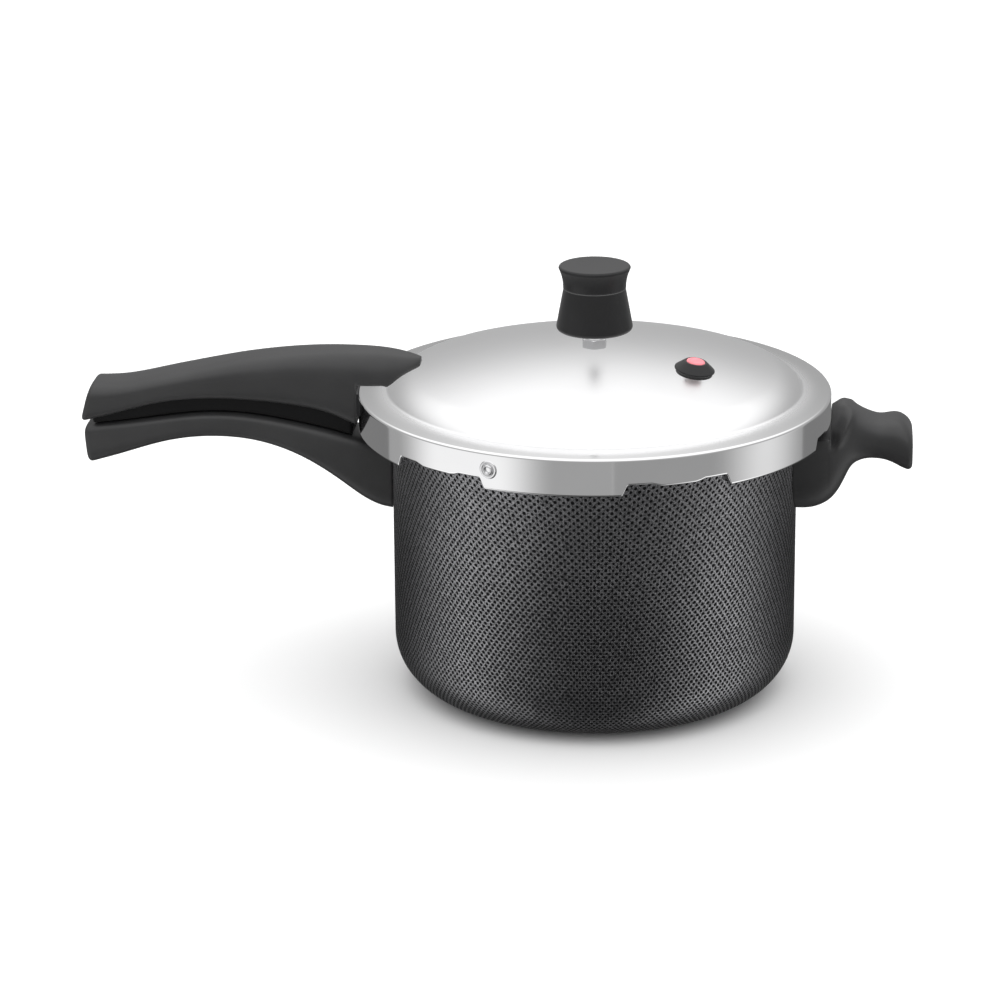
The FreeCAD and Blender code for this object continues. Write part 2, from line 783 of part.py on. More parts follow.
def make_stop_rivet():
    """Hollow rivet whose shank meets a lug's edge when the lid is fully closed."""
    face = lid_radius
    tall = s.rivet_head_thick
    inside = skirt_inner - s.stop_reach
    start = (face + tall * 0.2, 0)
    edges = [
        (face + tall * 0.2, s.stop_head * 0.35),
        (face + tall, s.stop_head * 0.55),
        (face + tall, s.stop_head * 0.8),
        (face, s.stop_head),
        (face, s.stop_shank),
        (inside, s.stop_shank),
        (inside, 0),
    ]
    return turned("lid_stop_rivet", start, edges, s.stop_turn, stop_level, axis="H_Axis")


def make_stop_hole():
    """The rivet's hole through the skirt."""
    inside = skirt_inner - OVERCUT
    outside = lid_radius + OVERCUT
    edges = [(outside, 0), (outside, s.stop_shank), (inside, s.stop_shank)]
    return turned("stop_hole", (inside, 0), edges, s.stop_turn, stop_level, axis="H_Axis")


# ---------------------------------------------------------------- vent and weight

vent_top = dome_top + s.vent_rise
dome_under = dome_top - s.lid_sheet


def make_vent_tube():
    """Steam pipe: flange on the dome, bored stem above, threaded tail below."""
    tail = dome_under - s.vent_below
    start = (s.vent_bore, tail)
    edges = [
        (s.vent_stem, tail),
        (s.vent_stem, dome_top),
        (s.vent_flange, dome_top),
        (s.vent_flange, dome_top + s.vent_flange_thick - 1),
        (s.vent_flange - 1, dome_top + s.vent_flange_thick),
        (s.vent_stem - 0.4, dome_top + s.vent_flange_thick),
        (s.vent_stem - 0.4, vent_top - 0.8),
        (s.vent_stem - 1.2, vent_top),
        (s.vent_bore, vent_top),
    ]
    return turned("vent_tube", start, edges)


def make_vent_fasteners():
    """Sealing washer and hexagon nut on the vent's tail, under the dome.

    The dome is nearly flat here; the washer's top is set at the height of its rim.
    """
    rim = s.vent_washer_radius
    sag = cap_radius - root(cap_radius * cap_radius - rim * rim)
    seat = dome_under - sag - 0.05
    start, edges = box_edges(s.vent_stem, rim, seat - s.vent_washer_thick, seat)
    washer = turned("vent_washer", start, edges)
    nut_top = seat - s.vent_washer_thick
    return washer, hex_nut("vent_nut", s.vent_nut_radius, s.vent_nut_thick, s.vent_stem, nut_top)


def hex_nut(name, radius, thick, bore, top):
    """A hexagon nut, by its corner radius, hanging from a level."""
    prism = doc.addObject("Part::Prism", name + "_blank")
    prism.Polygon = 6
    prism.setExpression("Circumradius", radius.text)
    prism.setExpression("Height", thick.text)
    prism.setExpression("Placement.Base.z", (top - thick).text)
    hole = cylinder(name + "_bore", bore, top - thick - 1, top + 1)
    return cut_from(name, prism, [hole])


def make_needle():
    """Loose needle: its cone closes the vent, its collar carries the weight."""
    seat = vent_top + s.running_gap
    tip = s.vent_bore - s.running_gap
    start = (0, seat - 3 * tip)
    edges = [
        (tip, seat - tip),
        (tip, seat),
        (s.needle_collar, seat),
        (s.needle_collar, seat + s.needle_collar_thick),
        (s.needle_pin, seat + s.needle_collar_thick),
        (s.needle_pin, seat + s.needle_length - 1),
        (s.needle_pin - 1, seat + s.needle_length),
        (0, seat + s.needle_length),
    ]
    return turned("vent_needle", start, edges)


weight_foot_z = dome_top + s.weight_lift_gap
weight_waist_z = weight_foot_z + s.weight_waist_rise
weight_top = weight_foot_z + s.weight_height
core_top = weight_foot_z + s.weight_core_rise


def make_weight_core():
    """Metal core that gives the weight: a pocket over the vent and a guide for the needle."""
    low = weight_foot_z + 1
    pocket = vent_top + s.needle_collar_thick + s.weight_clearance
    guide = s.needle_pin + s.running_gap
    guide_top = vent_top + s.needle_length + s.weight_clearance
    wide = s.vent_stem + s.weight_clearance
    start = (wide, low)
    edges = [
        (s.weight_core_radius, low),
        (s.weight_core_radius, core_top),
        (0, core_top),
        (0, guide_top),
        (guide, guide_top),
        (guide, pocket),
        (wide, pocket),
    ]
    return turned("weight_core", start, edges)


def make_weight_skirt():
    """Lower moulding of the weight: a cone with a rounded foot, up to the waist."""
    inner = s.weight_core_radius
    start = (inner, weight_foot_z)
    edge = s.weight_foot_edge
    edges = [
        (s.weight_foot - edge, weight_foot_z),
        (s.weight_foot, weight_foot_z + edge, edge, "left"),
        (s.weight_waist, weight_waist_z),
        (inner, weight_waist_z),
    ]
    return turned("weight_skirt", start, edges)


def make_weight_cap():
    """Upper moulding of the weight: flares from the waist to a flat, rounded top."""
    crown_z = weight_top - 1.5
    start = (0, core_top)
    edges = [
        (s.weight_core_radius, core_top),
        (s.weight_core_radius, weight_waist_z),
        (s.weight_waist, weight_waist_z),
        (s.weight_crown, crown_z, s.weight_flare, "right"),
        (s.weight_crown - 1.5, weight_top, as_size(1.5), "left"),
        (0, weight_top),
    ]
    return turned("weight_cap", start, edges)


# ---------------------------------------------------------------- safety valve

valve_sine = s.valve_distance / cap_radius
valve_cosine = root(1 - valve_sine * valve_sine)
valve_tilt = math.degrees(math.asin(valve_sine.value))


def set_on_dome(piece):
    """Stand a piece that was made about the vertical axis square on the dome.

    Its zero level lies on the dome's outer surface.
    """
    turn = FreeCAD.Rotation(V(0, 0, 1), s.valve_turn.value)
    lean = FreeCAD.Rotation(V(0, 1, 0), valve_tilt)
    level = cap_z + cap_radius * valve_cosine
    across = s.valve_distance * cosine(s.valve_turn)
    along = s.valve_distance * sine(s.valve_turn)
    piece.Placement = FreeCAD.Placement(V(0, 0, 0), turn * lean)
    piece.setExpression("Placement.Base.x", across.text)
    piece.setExpression("Placement.Base.y", along.text)
    piece.setExpression("Placement.Base.z", level.text)
    doc.recompute()
    return piece


def make_valve_housing():
    """Valve body: banded rim, cone, central bore, and a stem through the dome."""
    foot = 0.15
    cone_top = s.valve_height
    tail = -s.lid_sheet - s.valve_below
    start = (s.plug_shank, tail)
    edges = [
        (s.valve_stem, tail),
        (s.valve_stem, foot),
        (s.valve_radius - 0.6, foot),
        (s.valve_radius, foot + 0.6),
        (s.valve_radius, s.valve_band),
        (s.valve_radius - 0.8, s.valve_band + 0.6),
        (s.valve_crown, cone_top),
        (s.plug_radius, cone_top),
        (s.plug_radius, cone_top - 1.2),
        (s.plug_shank, cone_top - 1.2),
    ]
    return set_on_dome(turned("safety_valve_housing", start, edges))


def make_valve_plug():
    """Soft plug that blows out when both valves are blocked."""
    proud = s.valve_height + s.plug_proud
    tail = -s.lid_sheet - s.valve_below
    start = (0, tail + 1)
    edges = [
        (s.plug_shank, tail + 1),
        (s.plug_shank, s.valve_height - 1.2),
        (s.plug_radius, s.valve_height - 1.2),
        (s.plug_radius, s.valve_height),
        (s.plug_radius - 1, proud),
        (0, proud),
    ]
    return set_on_dome(turned("safety_valve_plug", start, edges))


def make_valve_nut():
    """Ring nut that clamps the valve under the dome."""
    rim = s.valve_nut_radius
    sag = cap_radius - root(cap_radius * cap_radius - rim * rim)
    seat = -s.lid_sheet - sag - 0.05
    low = seat - s.valve_nut_thick
    edges = [(rim, low), (rim, seat - 0.6), (rim - 0.6, seat), (s.valve_stem, seat)]
    return set_on_dome(turned("safety_valve_nut", (s.valve_stem, low), edges))


def make_valve_hole():
    start, edges = box_edges(0, s.valve_stem, -s.lid_sheet * 4, s.lid_sheet * 4)
    return set_on_dome(turned("valve_hole", start, edges))


# ---------------------------------------------------------------- assembly


def build():
    """Make every piece and hand back the finished ones."""
    back = as_size(180)
    front = as_size(0)
    pot_inside = s.pot_radius - s.pot_wall
    wall_space = cylinder("wall_space", s.pot_radius + s.handle_fit_gap, front, lid_top)

    # Pot side: the long handle on -X, the helper handle on +X.
    fixing = make_fixing(
        "pot_handle", back, s.pot_radius, pot_inside,
        (lid_top - s.pot_plate_low, lid_top - s.pot_plate_high),
        (s.pot_rivet_drop, s.pot_tongue_drop, s.pot_seat_drop), s.pot_screw_out)
    handle = cut_from("pot_handle", make_lower_grip(), [wall_space] + fixing.cuts)
    helper_fixing = make_fixing(
        "helper", front, s.pot_radius, pot_inside,
        (lid_top - s.helper_plate_low, lid_top - s.helper_plate_high),
        (s.helper_rivet_drop, s.helper_tongue_drop, s.helper_seat_drop), s.helper_screw_out)
    turn_space = cylinder("lid_turn_space", lid_radius + s.turn_gap, skirt_foot - s.turn_gap, dome_top)
    helper = cut_from("helper_handle", make_helper_grip(), [wall_space, turn_space] + helper_fixing.cuts)
    pot = cut_from("pot_body", make_pot(), [fixing.holes, helper_fixing.holes])

    # Lid side, with its handle on -X.
    lid_fixing = make_fixing(
        "lid_handle", back, lid_radius, skirt_inner,
        (lid_top - s.window_depth + s.lid_plate_gap, lid_top - s.lid_edge),
        (s.lid_rivet_drop, s.lid_tongue_drop, s.lid_seat_drop), s.lid_screw_out, flush=True)
    lid_handle = cut_from("lid_handle", make_upper_grip(), [make_lid_envelope()] + lid_fixing.cuts)
    vent_hole = cylinder("vent_hole", s.vent_stem, lid_top, dome_top + OVERCUT)
    lid_holes = [vent_hole, make_valve_hole(), make_stop_hole(), lid_fixing.holes]
    vent_washer, vent_nut = make_vent_fasteners()

    pieces = [pot, handle, helper, lid_handle]
    for group in (fixing, helper_fixing, lid_fixing):
        pieces += group.pieces
    pieces += [make_lid_shell(lid_holes), make_gasket(), make_stop_rivet()]
    pieces += [make_vent_tube(), vent_washer, vent_nut]
    pieces += [make_valve_housing(), make_valve_plug(), make_valve_nut()]
    pieces += [make_needle(), make_weight_core(), make_weight_skirt(), make_weight_cap()]
    return pieces


def check(pieces):
    """Stop unless every object recomputed and every finished shape is whole."""
    doc.recompute()
    for item in doc.Objects:
        if {"Invalid", "Error"} & set(item.State):
            raise RuntimeError("%s did not recompute: %s" % (item.Label, item.State))
    for piece in pieces:
        if piece.Shape.isNull() or not piece.Shape.isValid() or piece.Shape.Volume <= 0:
            raise RuntimeError("%s has no sound shape" % piece.Label)


pieces = build()
check(pieces)
os.makedirs("parts", exist_ok=True)
for piece in pieces:
    piece.Shape.exportStep("parts/%s.step" % piece.Label)
    print("%-22s %d solids %10.1f mm3" % (piece.Label, len(piece.Shape.Solids), piece.Shape.Volume))
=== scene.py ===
"""Looks of a stovetop pressure cooker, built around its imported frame.

Sizes in the classes are millimetres in the frame's own axes.  The mesh maker turns them into
metres, once, so each piece lies where the frame has it.
"""
import json
import logging
import math
from dataclasses import dataclass, field
from enum import Enum
from typing import Sequence

import bpy
import numpy as np
from mathutils import Matrix, Vector


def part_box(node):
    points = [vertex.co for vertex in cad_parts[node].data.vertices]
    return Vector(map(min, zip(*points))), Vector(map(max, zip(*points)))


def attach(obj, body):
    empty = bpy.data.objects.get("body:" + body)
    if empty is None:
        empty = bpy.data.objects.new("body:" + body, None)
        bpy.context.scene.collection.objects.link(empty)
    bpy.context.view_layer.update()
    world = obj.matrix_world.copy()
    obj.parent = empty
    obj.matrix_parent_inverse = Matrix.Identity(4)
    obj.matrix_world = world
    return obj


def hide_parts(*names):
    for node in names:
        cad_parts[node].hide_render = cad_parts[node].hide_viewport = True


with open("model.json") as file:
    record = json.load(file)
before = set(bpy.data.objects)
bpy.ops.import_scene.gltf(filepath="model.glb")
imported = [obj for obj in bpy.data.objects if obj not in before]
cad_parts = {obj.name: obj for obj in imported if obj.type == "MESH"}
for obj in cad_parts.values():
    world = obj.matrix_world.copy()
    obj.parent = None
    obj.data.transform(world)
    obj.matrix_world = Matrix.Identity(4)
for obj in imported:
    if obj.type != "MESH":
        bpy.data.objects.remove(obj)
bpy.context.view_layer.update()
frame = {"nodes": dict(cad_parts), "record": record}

log = logging.getLogger("cooker")

METRES = 0.001
DOT_MAP = "dots"
FRONT_TURN = -86.5

Points = Sequence[tuple[float, float]]
Value = "Socket | float | tuple[float, ...]"


class Body(Enum):
    """Frame bodies that the pieces ride on."""

    POT = "pot"
    LID = "lid"
    NEEDLE = "needle"
    WEIGHT = "weight"


class Slot(Enum):
    """Material slots of the record."""

    COATING = "pot_coating"
    LID = "lid_aluminium"
    GRIP = "grip_plastic"
    STEEL = "steel"
    RIVET = "rivet_aluminium"
    SEAL = "seal_rubber"
    PLUG = "plug_silicone"
    CORE = "core_brass"


def box_mm(node: str) -> tuple[np.ndarray, np.ndarray]:
    """Lowest and highest corner of a frame node, in millimetres."""
    low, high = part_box(node)
    return np.array(low) / METRES, np.array(high) / METRES


# ------------------------------------------------------------------ shader maths


class Socket:
    """An output of a shader node that can be used in arithmetic."""

    def __init__(self, graph: "Graph", link: bpy.types.NodeSocket) -> None:
        """Keep the graph that the output belongs to."""
        self.graph = graph
        self.link = link

    def _math(self, operation: str, *values: Value) -> "Socket":
        """Add one Math node."""
        inputs = dict(enumerate(values))
        return self.graph.node("ShaderNodeMath", {"operation": operation}, inputs)

    def __add__(self, other: Value) -> "Socket":
        """Sum."""
        return self._math("ADD", self, other)

    def __radd__(self, other: Value) -> "Socket":
        """Sum, the other way round."""
        return self._math("ADD", other, self)

    def __sub__(self, other: Value) -> "Socket":
        """Difference."""
        return self._math("SUBTRACT", self, other)

    def __rsub__(self, other: Value) -> "Socket":
        """Difference, the other way round."""
        return self._math("SUBTRACT", other, self)

    def __mul__(self, other: Value) -> "Socket":
        """Product."""
        return self._math("MULTIPLY", self, other)

    def __rmul__(self, other: Value) -> "Socket":
        """Product, the other way round."""
        return self._math("MULTIPLY", other, self)

    def __pow__(self, other: Value) -> "Socket":
        """Power."""
        return self._math("POWER", self, other)

    def smallest(self, other: Value) -> "Socket":
        """The lesser of two."""
        return self._math("MINIMUM", self, other)

    def wrapped(self) -> "Socket":
        """Distance from the nearest whole number, with its sign."""
        return self - self._math("ROUND", self)

    def step(self, low: float, high: float) -> "Socket":
        """Smooth step from 0 at low to 1 at high."""
        settings = {"interpolation_type": "SMOOTHSTEP"}
        return self.graph.node("ShaderNodeMapRange", settings, {0: self, 1: low, 2: high})

    def ranged(self, low: float, high: float) -> "Socket":
        """A 0 to 1 value spread linearly over a new range."""
        return self * (high - low) + low


class Graph:
    """The node tree of one material."""

    def __init__(self, name: str) -> None:
        """Make the material with an empty tree.

        Args:
            name: the material's name.
        """
        self.material = bpy.data.materials.new(name)
        self.material.use_nodes = True
        self.tree = self.material.node_tree
        self.tree.nodes.clear()

    def node(self, kind: str, settings: dict | None = None, inputs: dict | None = None,
             output: int | str = 0) -> Socket:
        """Add any node.

        Args:
            kind: the node's type.
            settings: its own properties, set first.
            inputs: numbers, colours or sockets, by the name or index of the input.
            output: the output that is handed back.

        Returns:
            The chosen output.
        """
        made = self.tree.nodes.new(kind)
        for key, value in (settings or {}).items():
            setattr(made, key, value)
        for key, value in (inputs or {}).items():
            if isinstance(value, Socket):
                self.tree.links.new(value.link, made.inputs[key])
            elif isinstance(value, tuple) and made.inputs[key].type == "RGBA":
                made.inputs[key].default_value = value + (1.0,)
            else:
                made.inputs[key].default_value = value
        return Socket(self, made.outputs[output])

    def place(self) -> Socket:
        """Object coordinates."""
        return self.node("ShaderNodeTexCoord", output="Object")

    def parts(self, vector: Socket) -> tuple[Socket, Socket, Socket]:
        """The three numbers of a vector.

        Args:
            vector: the vector to take apart.

        Returns:
            Its first, second and third number.
        """
        first = self.node("ShaderNodeSeparateXYZ", inputs={0: vector})
        node = first.link.node
        return first, Socket(self, node.outputs[1]), Socket(self, node.outputs[2])

    def noise(self, vector: Socket, scale: float, detail: float = 2.0) -> Socket:
        """Fractal noise from 0 to 1."""
        return self.node("ShaderNodeTexNoise", inputs={"Vector": vector, "Scale": scale, "Detail": detail})

    def blend(self, share: Socket, first: Value, second: Value) -> Socket:
        """Mix of two colours."""
        inputs = {0: share, 6: first, 7: second}
        return self.node("ShaderNodeMix", {"data_type": "RGBA"}, inputs, 2)

    def bump(self, height: Socket, depth: float, strength: float = 1.0) -> Socket:
        """Normal that a height of 0 to 1 gives, for a relief of this depth in metres."""
        inputs = {"Height": height, "Distance": depth, "Strength": strength}
        return self.node("ShaderNodeBump", inputs=inputs)

    def surface(self, **inputs: Value) -> bpy.types.Material:
        """End the tree in a Principled shader.

        Args:
            inputs: its inputs, with an underscore for each space.

        Returns:
            The finished material.
        """
        named = {key.replace("_", " "): value for key, value in inputs.items()}
        self.finish(self.node("ShaderNodeBsdfPrincipled", inputs=named))
        return self.material

    @classmethod
    def over(cls, tree: bpy.types.NodeTree) -> "Graph":
        """A graph over a tree that exists already, emptied.

        Args:
            tree: the node tree to use.

        Returns:
            The graph, with no material of its own.
        """
        graph = cls.__new__(cls)
        graph.tree = tree
        tree.nodes.clear()
        return graph

    def finish(self, shader: Socket, kind: str = "ShaderNodeOutputMaterial") -> None:
        """Join a shader to the tree's output."""
        output = self.tree.nodes.new(kind)
        self.tree.links.new(shader.link, output.inputs["Surface"])


def lighter(colour: tuple[float, ...], factor: float) -> tuple[float, ...]:
    """The colour times a factor, held to white."""
    return tuple(min(part * factor, 1.0) for part in colour)


# ------------------------------------------------------------------ finishes


@dataclass(frozen=True)
class DottedCoating:
    """Dark metallic enamel printed with staggered round black dots.

    The dots' lattice comes from the piece's own map: one unit across is one column, and one
    unit along is a pair of staggered rows.
    """

    columns: int
    wall_radius: float
    row_pair: float
    crowd: tuple[float, float]
    crowd_height: tuple[float, float]
    ground: tuple[float, float, float] = (0.20, 0.20, 0.207)
    ink: tuple[float, float, float] = (0.002, 0.002, 0.0025)
    dot_radius: float = 0.84
    roughness: float = 0.33

    def build(self) -> bpy.types.Material:
        """Make the material.

        Returns:
            The finished material.
        """
        g = Graph("dotted_coating")
        place = g.place()
        across, along, _ = g.parts(g.node("ShaderNodeUVMap", {"uv_map": DOT_MAP}))
        pitch = self._pitch(*g.parts(place))
        shake = (g.noise(place, 620.0) - 0.5) * 0.25
        near = self._distance(across, along, pitch, 0.0).smallest(self._distance(across, along, pitch, 0.5))
        clear = (near + shake).step(self.dot_radius - 0.1, self.dot_radius + 0.1)
        flake = g.noise(place, 1500.0, 2.0)
        glint = flake.step(0.35, 0.68)
        base = g.blend(glint, lighter(self.ground, 0.5), lighter(self.ground, 2.1))
        cloud = g.noise(place, 35.0).ranged(0.86, 1.1)
        tone = g.node("ShaderNodeVectorMath", {"operation": "SCALE"}, {0: base, 3: cloud})
        colour = g.blend(clear, self.ink, tone)
        rough = g.noise(place, 180.0).ranged(-0.04, 0.05) + self.roughness
        relief = clear * 0.7 + flake * 0.3
        return g.surface(
            Base_Color=colour, Metallic=clear.ranged(0.0, 1.0), Roughness=rough + (1.0 - clear) * 0.3,
            Normal=g.bump(relief, 0.00006, 0.55), Specular_IOR_Level=0.12)

    def _pitch(self, x: Socket, y: Socket, height: Socket) -> Socket:
        """Millimetres between columns: the mean pitch over 1 plus the crowding at the place.

        Args:
            x: place along X, in metres.
            y: place along Y, in metres.
            height: height, in metres.

        Returns:
            The pitch at each point.
        """
        turn = math.radians(FRONT_TURN)
        forward = (x * math.cos(turn) + y * math.sin(turn)) * (1.0 / (self.wall_radius * METRES))
        low, high = self.crowd_height
        share = height.step(low * METRES, high * METRES)
        crowding = share.ranged(*self.crowd) * forward + 1.0
        return crowding ** -1.0 * (2.0 * math.pi * self.wall_radius / self.columns)

    def _distance(self, across: Socket, along: Socket, pitch: Socket, shift: float) -> Socket:
        """Millimetres from the nearest dot of one of the two lattices.

        Args:
            across: column numbers.
            along: row-pair numbers.
            pitch: millimetres between columns.
            shift: the lattice's offset.

        Returns:
            The distance at each point.
        """
        wide = (across + shift).wrapped() * pitch
        tall = (along + shift).wrapped() * self.row_pair
        return (wide * wide + tall * tall) ** 0.5


@dataclass(frozen=True)
class SpunMetal:
    """Metal turned or polished about the upright axis, with faint rings and handling marks."""

    name: str
    colour: tuple[float, float, float] = (0.9, 0.9, 0.905)
    roughness: float = 0.2
    rings: float = 0.10
    ring_scale: float = 1400.0

    def build(self) -> bpy.types.Material:
        """Make the material.

        Returns:
            The finished material.
        """
        g = Graph(self.name)
        place = g.place()
        x, y, z = g.parts(place)
        radius = (x * x + y * y) ** 0.5
        turn = g.node("ShaderNodeMath", {"operation": "ARCTAN2"}, {0: y, 1: x})
        lines = g.node("ShaderNodeCombineXYZ", inputs={0: radius * self.ring_scale, 1: turn * 3.0,
                                                       2: z * self.ring_scale})
        groove = g.noise(lines, 1.0, 3.0)
        marks = g.noise(place, 28.0, 4.0)
        rough = marks.ranged(-0.025, 0.035) + self.roughness + groove.ranged(-0.015, 0.015)
        tint = g.blend(marks.step(0.3, 0.75), self.colour, lighter(self.colour, 0.94))
        return g.surface(Base_Color=tint, Metallic=1.0, Roughness=rough,
                         Normal=g.bump(groove, 0.00001, self.rings))


@dataclass(frozen=True)
class PolishedLid:
    """Lid aluminium: satin on the dome, bright on the rolled edge and the skirt."""

    colour: tuple[float, float, float] = (0.93, 0.93, 0.935)
    dome: float = 0.3
    skirt: float = 0.08
    skirt_from: float = 0.1040
    skirt_full: float = 0.1165

    def build(self) -> bpy.types.Material:
        """Make the material.

        Returns:
            The finished material.
        """
        g = Graph("polished_lid")
        place = g.place()
        x, y, z = g.parts(place)
        radius = (x * x + y * y) ** 0.5
        outer = radius.step(self.skirt_from, self.skirt_full)
        turn = g.node("ShaderNodeMath", {"operation": "ARCTAN2"}, {0: y, 1: x})
        lines = g.node("ShaderNodeCombineXYZ", inputs={0: radius * 1600.0, 1: turn * 2.0, 2: z * 900.0})
        groove = g.noise(lines, 1.0, 3.0)
        marks = g.noise(place, 24.0, 5.0)
        rough = outer * (self.skirt - self.dome) + self.dome + marks.ranged(-0.02, 0.03)
        rough = rough + groove.ranged(-0.01, 0.01)
        tint = g.blend(marks.step(0.35, 0.8), self.colour, lighter(self.colour, 0.965))
        return g.surface(Base_Color=tint, Metallic=1.0, Roughness=rough,
                         Normal=g.bump(groove, 0.000004, 0.35))


@dataclass(frozen=True)
class MouldedPlastic:
    """Black moulding with the fine grain of a blasted tool and a soft, uneven sheen."""

    name: str
    colour: tuple[float, float, float] = (0.021, 0.021, 0.0215)
    roughness: float = 0.42
    grain: float = 1500.0
    depth: float = 0.00004
    specular: float = 0.42

    def build(self) -> bpy.types.Material:
        """Make the material.

        Returns:
            The finished material.
        """
        g = Graph(self.name)
        place = g.place()
        pebble = g.noise(place, self.grain, 3.0)
        cloud = g.noise(place, 42.0, 3.0)
        rough = cloud.ranged(-0.05, 0.07) + pebble.ranged(-0.03, 0.03) + self.roughness
        tint = g.blend(cloud.step(0.3, 0.75), self.colour, lighter(self.colour, 1.22))
        return g.surface(Base_Color=tint, Roughness=rough, Specular_IOR_Level=self.specular,
                         Normal=g.bump(pebble, self.depth, 0.5))


@dataclass(frozen=True)
class Rubber:
    """Moulded rubber or silicone: matte, faintly mottled, with a bloom on the surface."""

    name: str
    colour: tuple[float, float, float]
    roughness: float = 0.55
    sheen: float = 0.2

    def build(self) -> bpy.types.Material:
        """Make the material.

        Returns:
            The finished material.
        """
        g = Graph(self.name)
        place = g.place()
        mottle = g.noise(place, 260.0, 4.0)
        fine = g.noise(place, 2200.0, 2.0)
        tint = g.blend(mottle.step(0.35, 0.7), self.colour, lighter(self.colour, 1.25))
        return g.surface(Base_Color=tint, Roughness=mottle.ranged(-0.06, 0.08) + self.roughness,
                         Sheen_Weight=self.sheen, Normal=g.bump(fine, 0.00003, 0.5))


# ------------------------------------------------------------------ shapes


class SmoothCurve:
    """Natural cubic curve through a few points.

    Between two points the curve is the cubic whose second derivative runs linearly from one
    point's bend to the next; the bends make the slopes agree, and vanish at both ends.
    """

    def __init__(self, points: Points) -> None:
        """Solve for the bends.

        Args:
            points: places and heights, in any order.
        """
        self.x, self.y = np.array(sorted(points), float).T
        step = np.diff(self.x)
        slope = np.diff(self.y) / step
        inner = len(self.x) - 2
        system = np.diag(2.0 * (step[:-1] + step[1:]))
        system += np.diag(step[1:-1], 1) + np.diag(step[1:-1], -1)
        self.bend = np.zeros(inner + 2)
        self.bend[1:-1] = np.linalg.solve(system, 6.0 * np.diff(slope))

    def __call__(self, at: np.ndarray | float) -> np.ndarray:
        """Height of the curve; outside its ends it stays level with them.

        Args:
            at: places at which the height is wanted.

        Returns:
            The heights.
        """
        at = np.clip(at, self.x[0], self.x[-1])
        i = np.clip(np.searchsorted(self.x, at) - 1, 0, len(self.x) - 2)
        step = self.x[i + 1] - self.x[i]
        after = self.x[i + 1] - at
        before = at - self.x[i]
        bent = (self.bend[i] * after ** 3 + self.bend[i + 1] * before ** 3) / (6.0 * step)
        left = (self.y[i] / step - self.bend[i] * step / 6.0) * after
        right = (self.y[i + 1] / step - self.bend[i + 1] * step / 6.0) * before
        return bent + left + right


def smooth_step(value: np.ndarray, low: float, high: float) -> np.ndarray:
    """3t² − 2t³, where t runs from 0 at low to 1 at high."""
    t = np.clip((value - low) / (high - low), 0.0, 1.0)
    return t * t * (3.0 - 2.0 * t)


def rounded_path(corners: Sequence[tuple[float, float, float]], steps: int = 6) -> np.ndarray:
    """Straight runs between corners, each corner replaced by its tangent arc.

    An arc of radius f meets both runs at f / tan(half the corner's angle) from the corner.  A
    guard point on each run, a little beyond the arc, keeps the shading of the flats flat.

    Args:
        corners: (radius, height, fillet) of each corner, in order.
        steps: pieces that each arc is divided into.

    Returns:
        The points of the path, one row each.
    """
    spots = np.array([c[:2] for c in corners], float)
    path = [spots[:1]]
    for i in range(1, len(spots) - 1):
        fillet = corners[i][2]
        back = spots[i - 1] - spots[i]
        ahead = spots[i + 1] - spots[i]
        reach_back, reach_ahead = np.linalg.norm(back), np.linalg.norm(ahead)
        back, ahead = back / reach_back, ahead / reach_ahead
        half = 0.5 * math.acos(float(np.clip(back @ ahead, -1.0, 1.0)))
        if fillet <= 0.0 or half > 1.55:
            path.append(spots[i:i + 1])
            continue
        room = 0.49 * min(reach_back, reach_ahead)
        cut = min(fillet / math.tan(half), room)
        radius = cut * math.tan(half)
        middle = (back + ahead) / np.linalg.norm(back + ahead)
        centre = spots[i] + middle * radius / math.sin(half)
        start, end = spots[i] + back * cut, spots[i] + ahead * cut
        spread = np.linspace(0.0, 1.0, steps + 1)[:, None]
        chord = start + (end - start) * spread - centre
        arc = centre + chord / np.linalg.norm(chord, axis=1)[:, None] * radius
        guard = min(0.25 * cut + 0.05, 0.45 * (room / 0.49 - cut))
        path += [start[None] + back * guard, arc, end[None] + ahead * guard]
    path.append(spots[-1:])
    return np.concatenate(path)


def superellipse(count: int, top_power: float, low_power: float) -> tuple[np.ndarray, np.ndarray]:
    """Unit section of a grip, evenly spaced along its line.

    Across is the cosine and up is the sine of the way round, each to the power 2/p, with p
    the upper or the lower half's own power: 2 is an ellipse and more is squarer.

    Args:
        count: points round the section.
        top_power: the upper half's power.
        low_power: the lower half's power.

    Returns:
        Across and up, each from -1 to 1.
    """
    angle = np.linspace(0.0, 2.0 * math.pi, 8001)
    power = 2.0 / np.where(np.sin(angle) > 0.0, top_power, low_power)
    across = np.sign(np.cos(angle)) * np.abs(np.cos(angle)) ** power
    up = np.sign(np.sin(angle)) * np.abs(np.sin(angle)) ** power
    length = np.concatenate([[0.0], np.cumsum(np.hypot(np.diff(across), np.diff(up)))])
    even = np.linspace(0.0, length[-1], count, endpoint=False)
    return np.interp(even, length, across), np.interp(even, length, up)


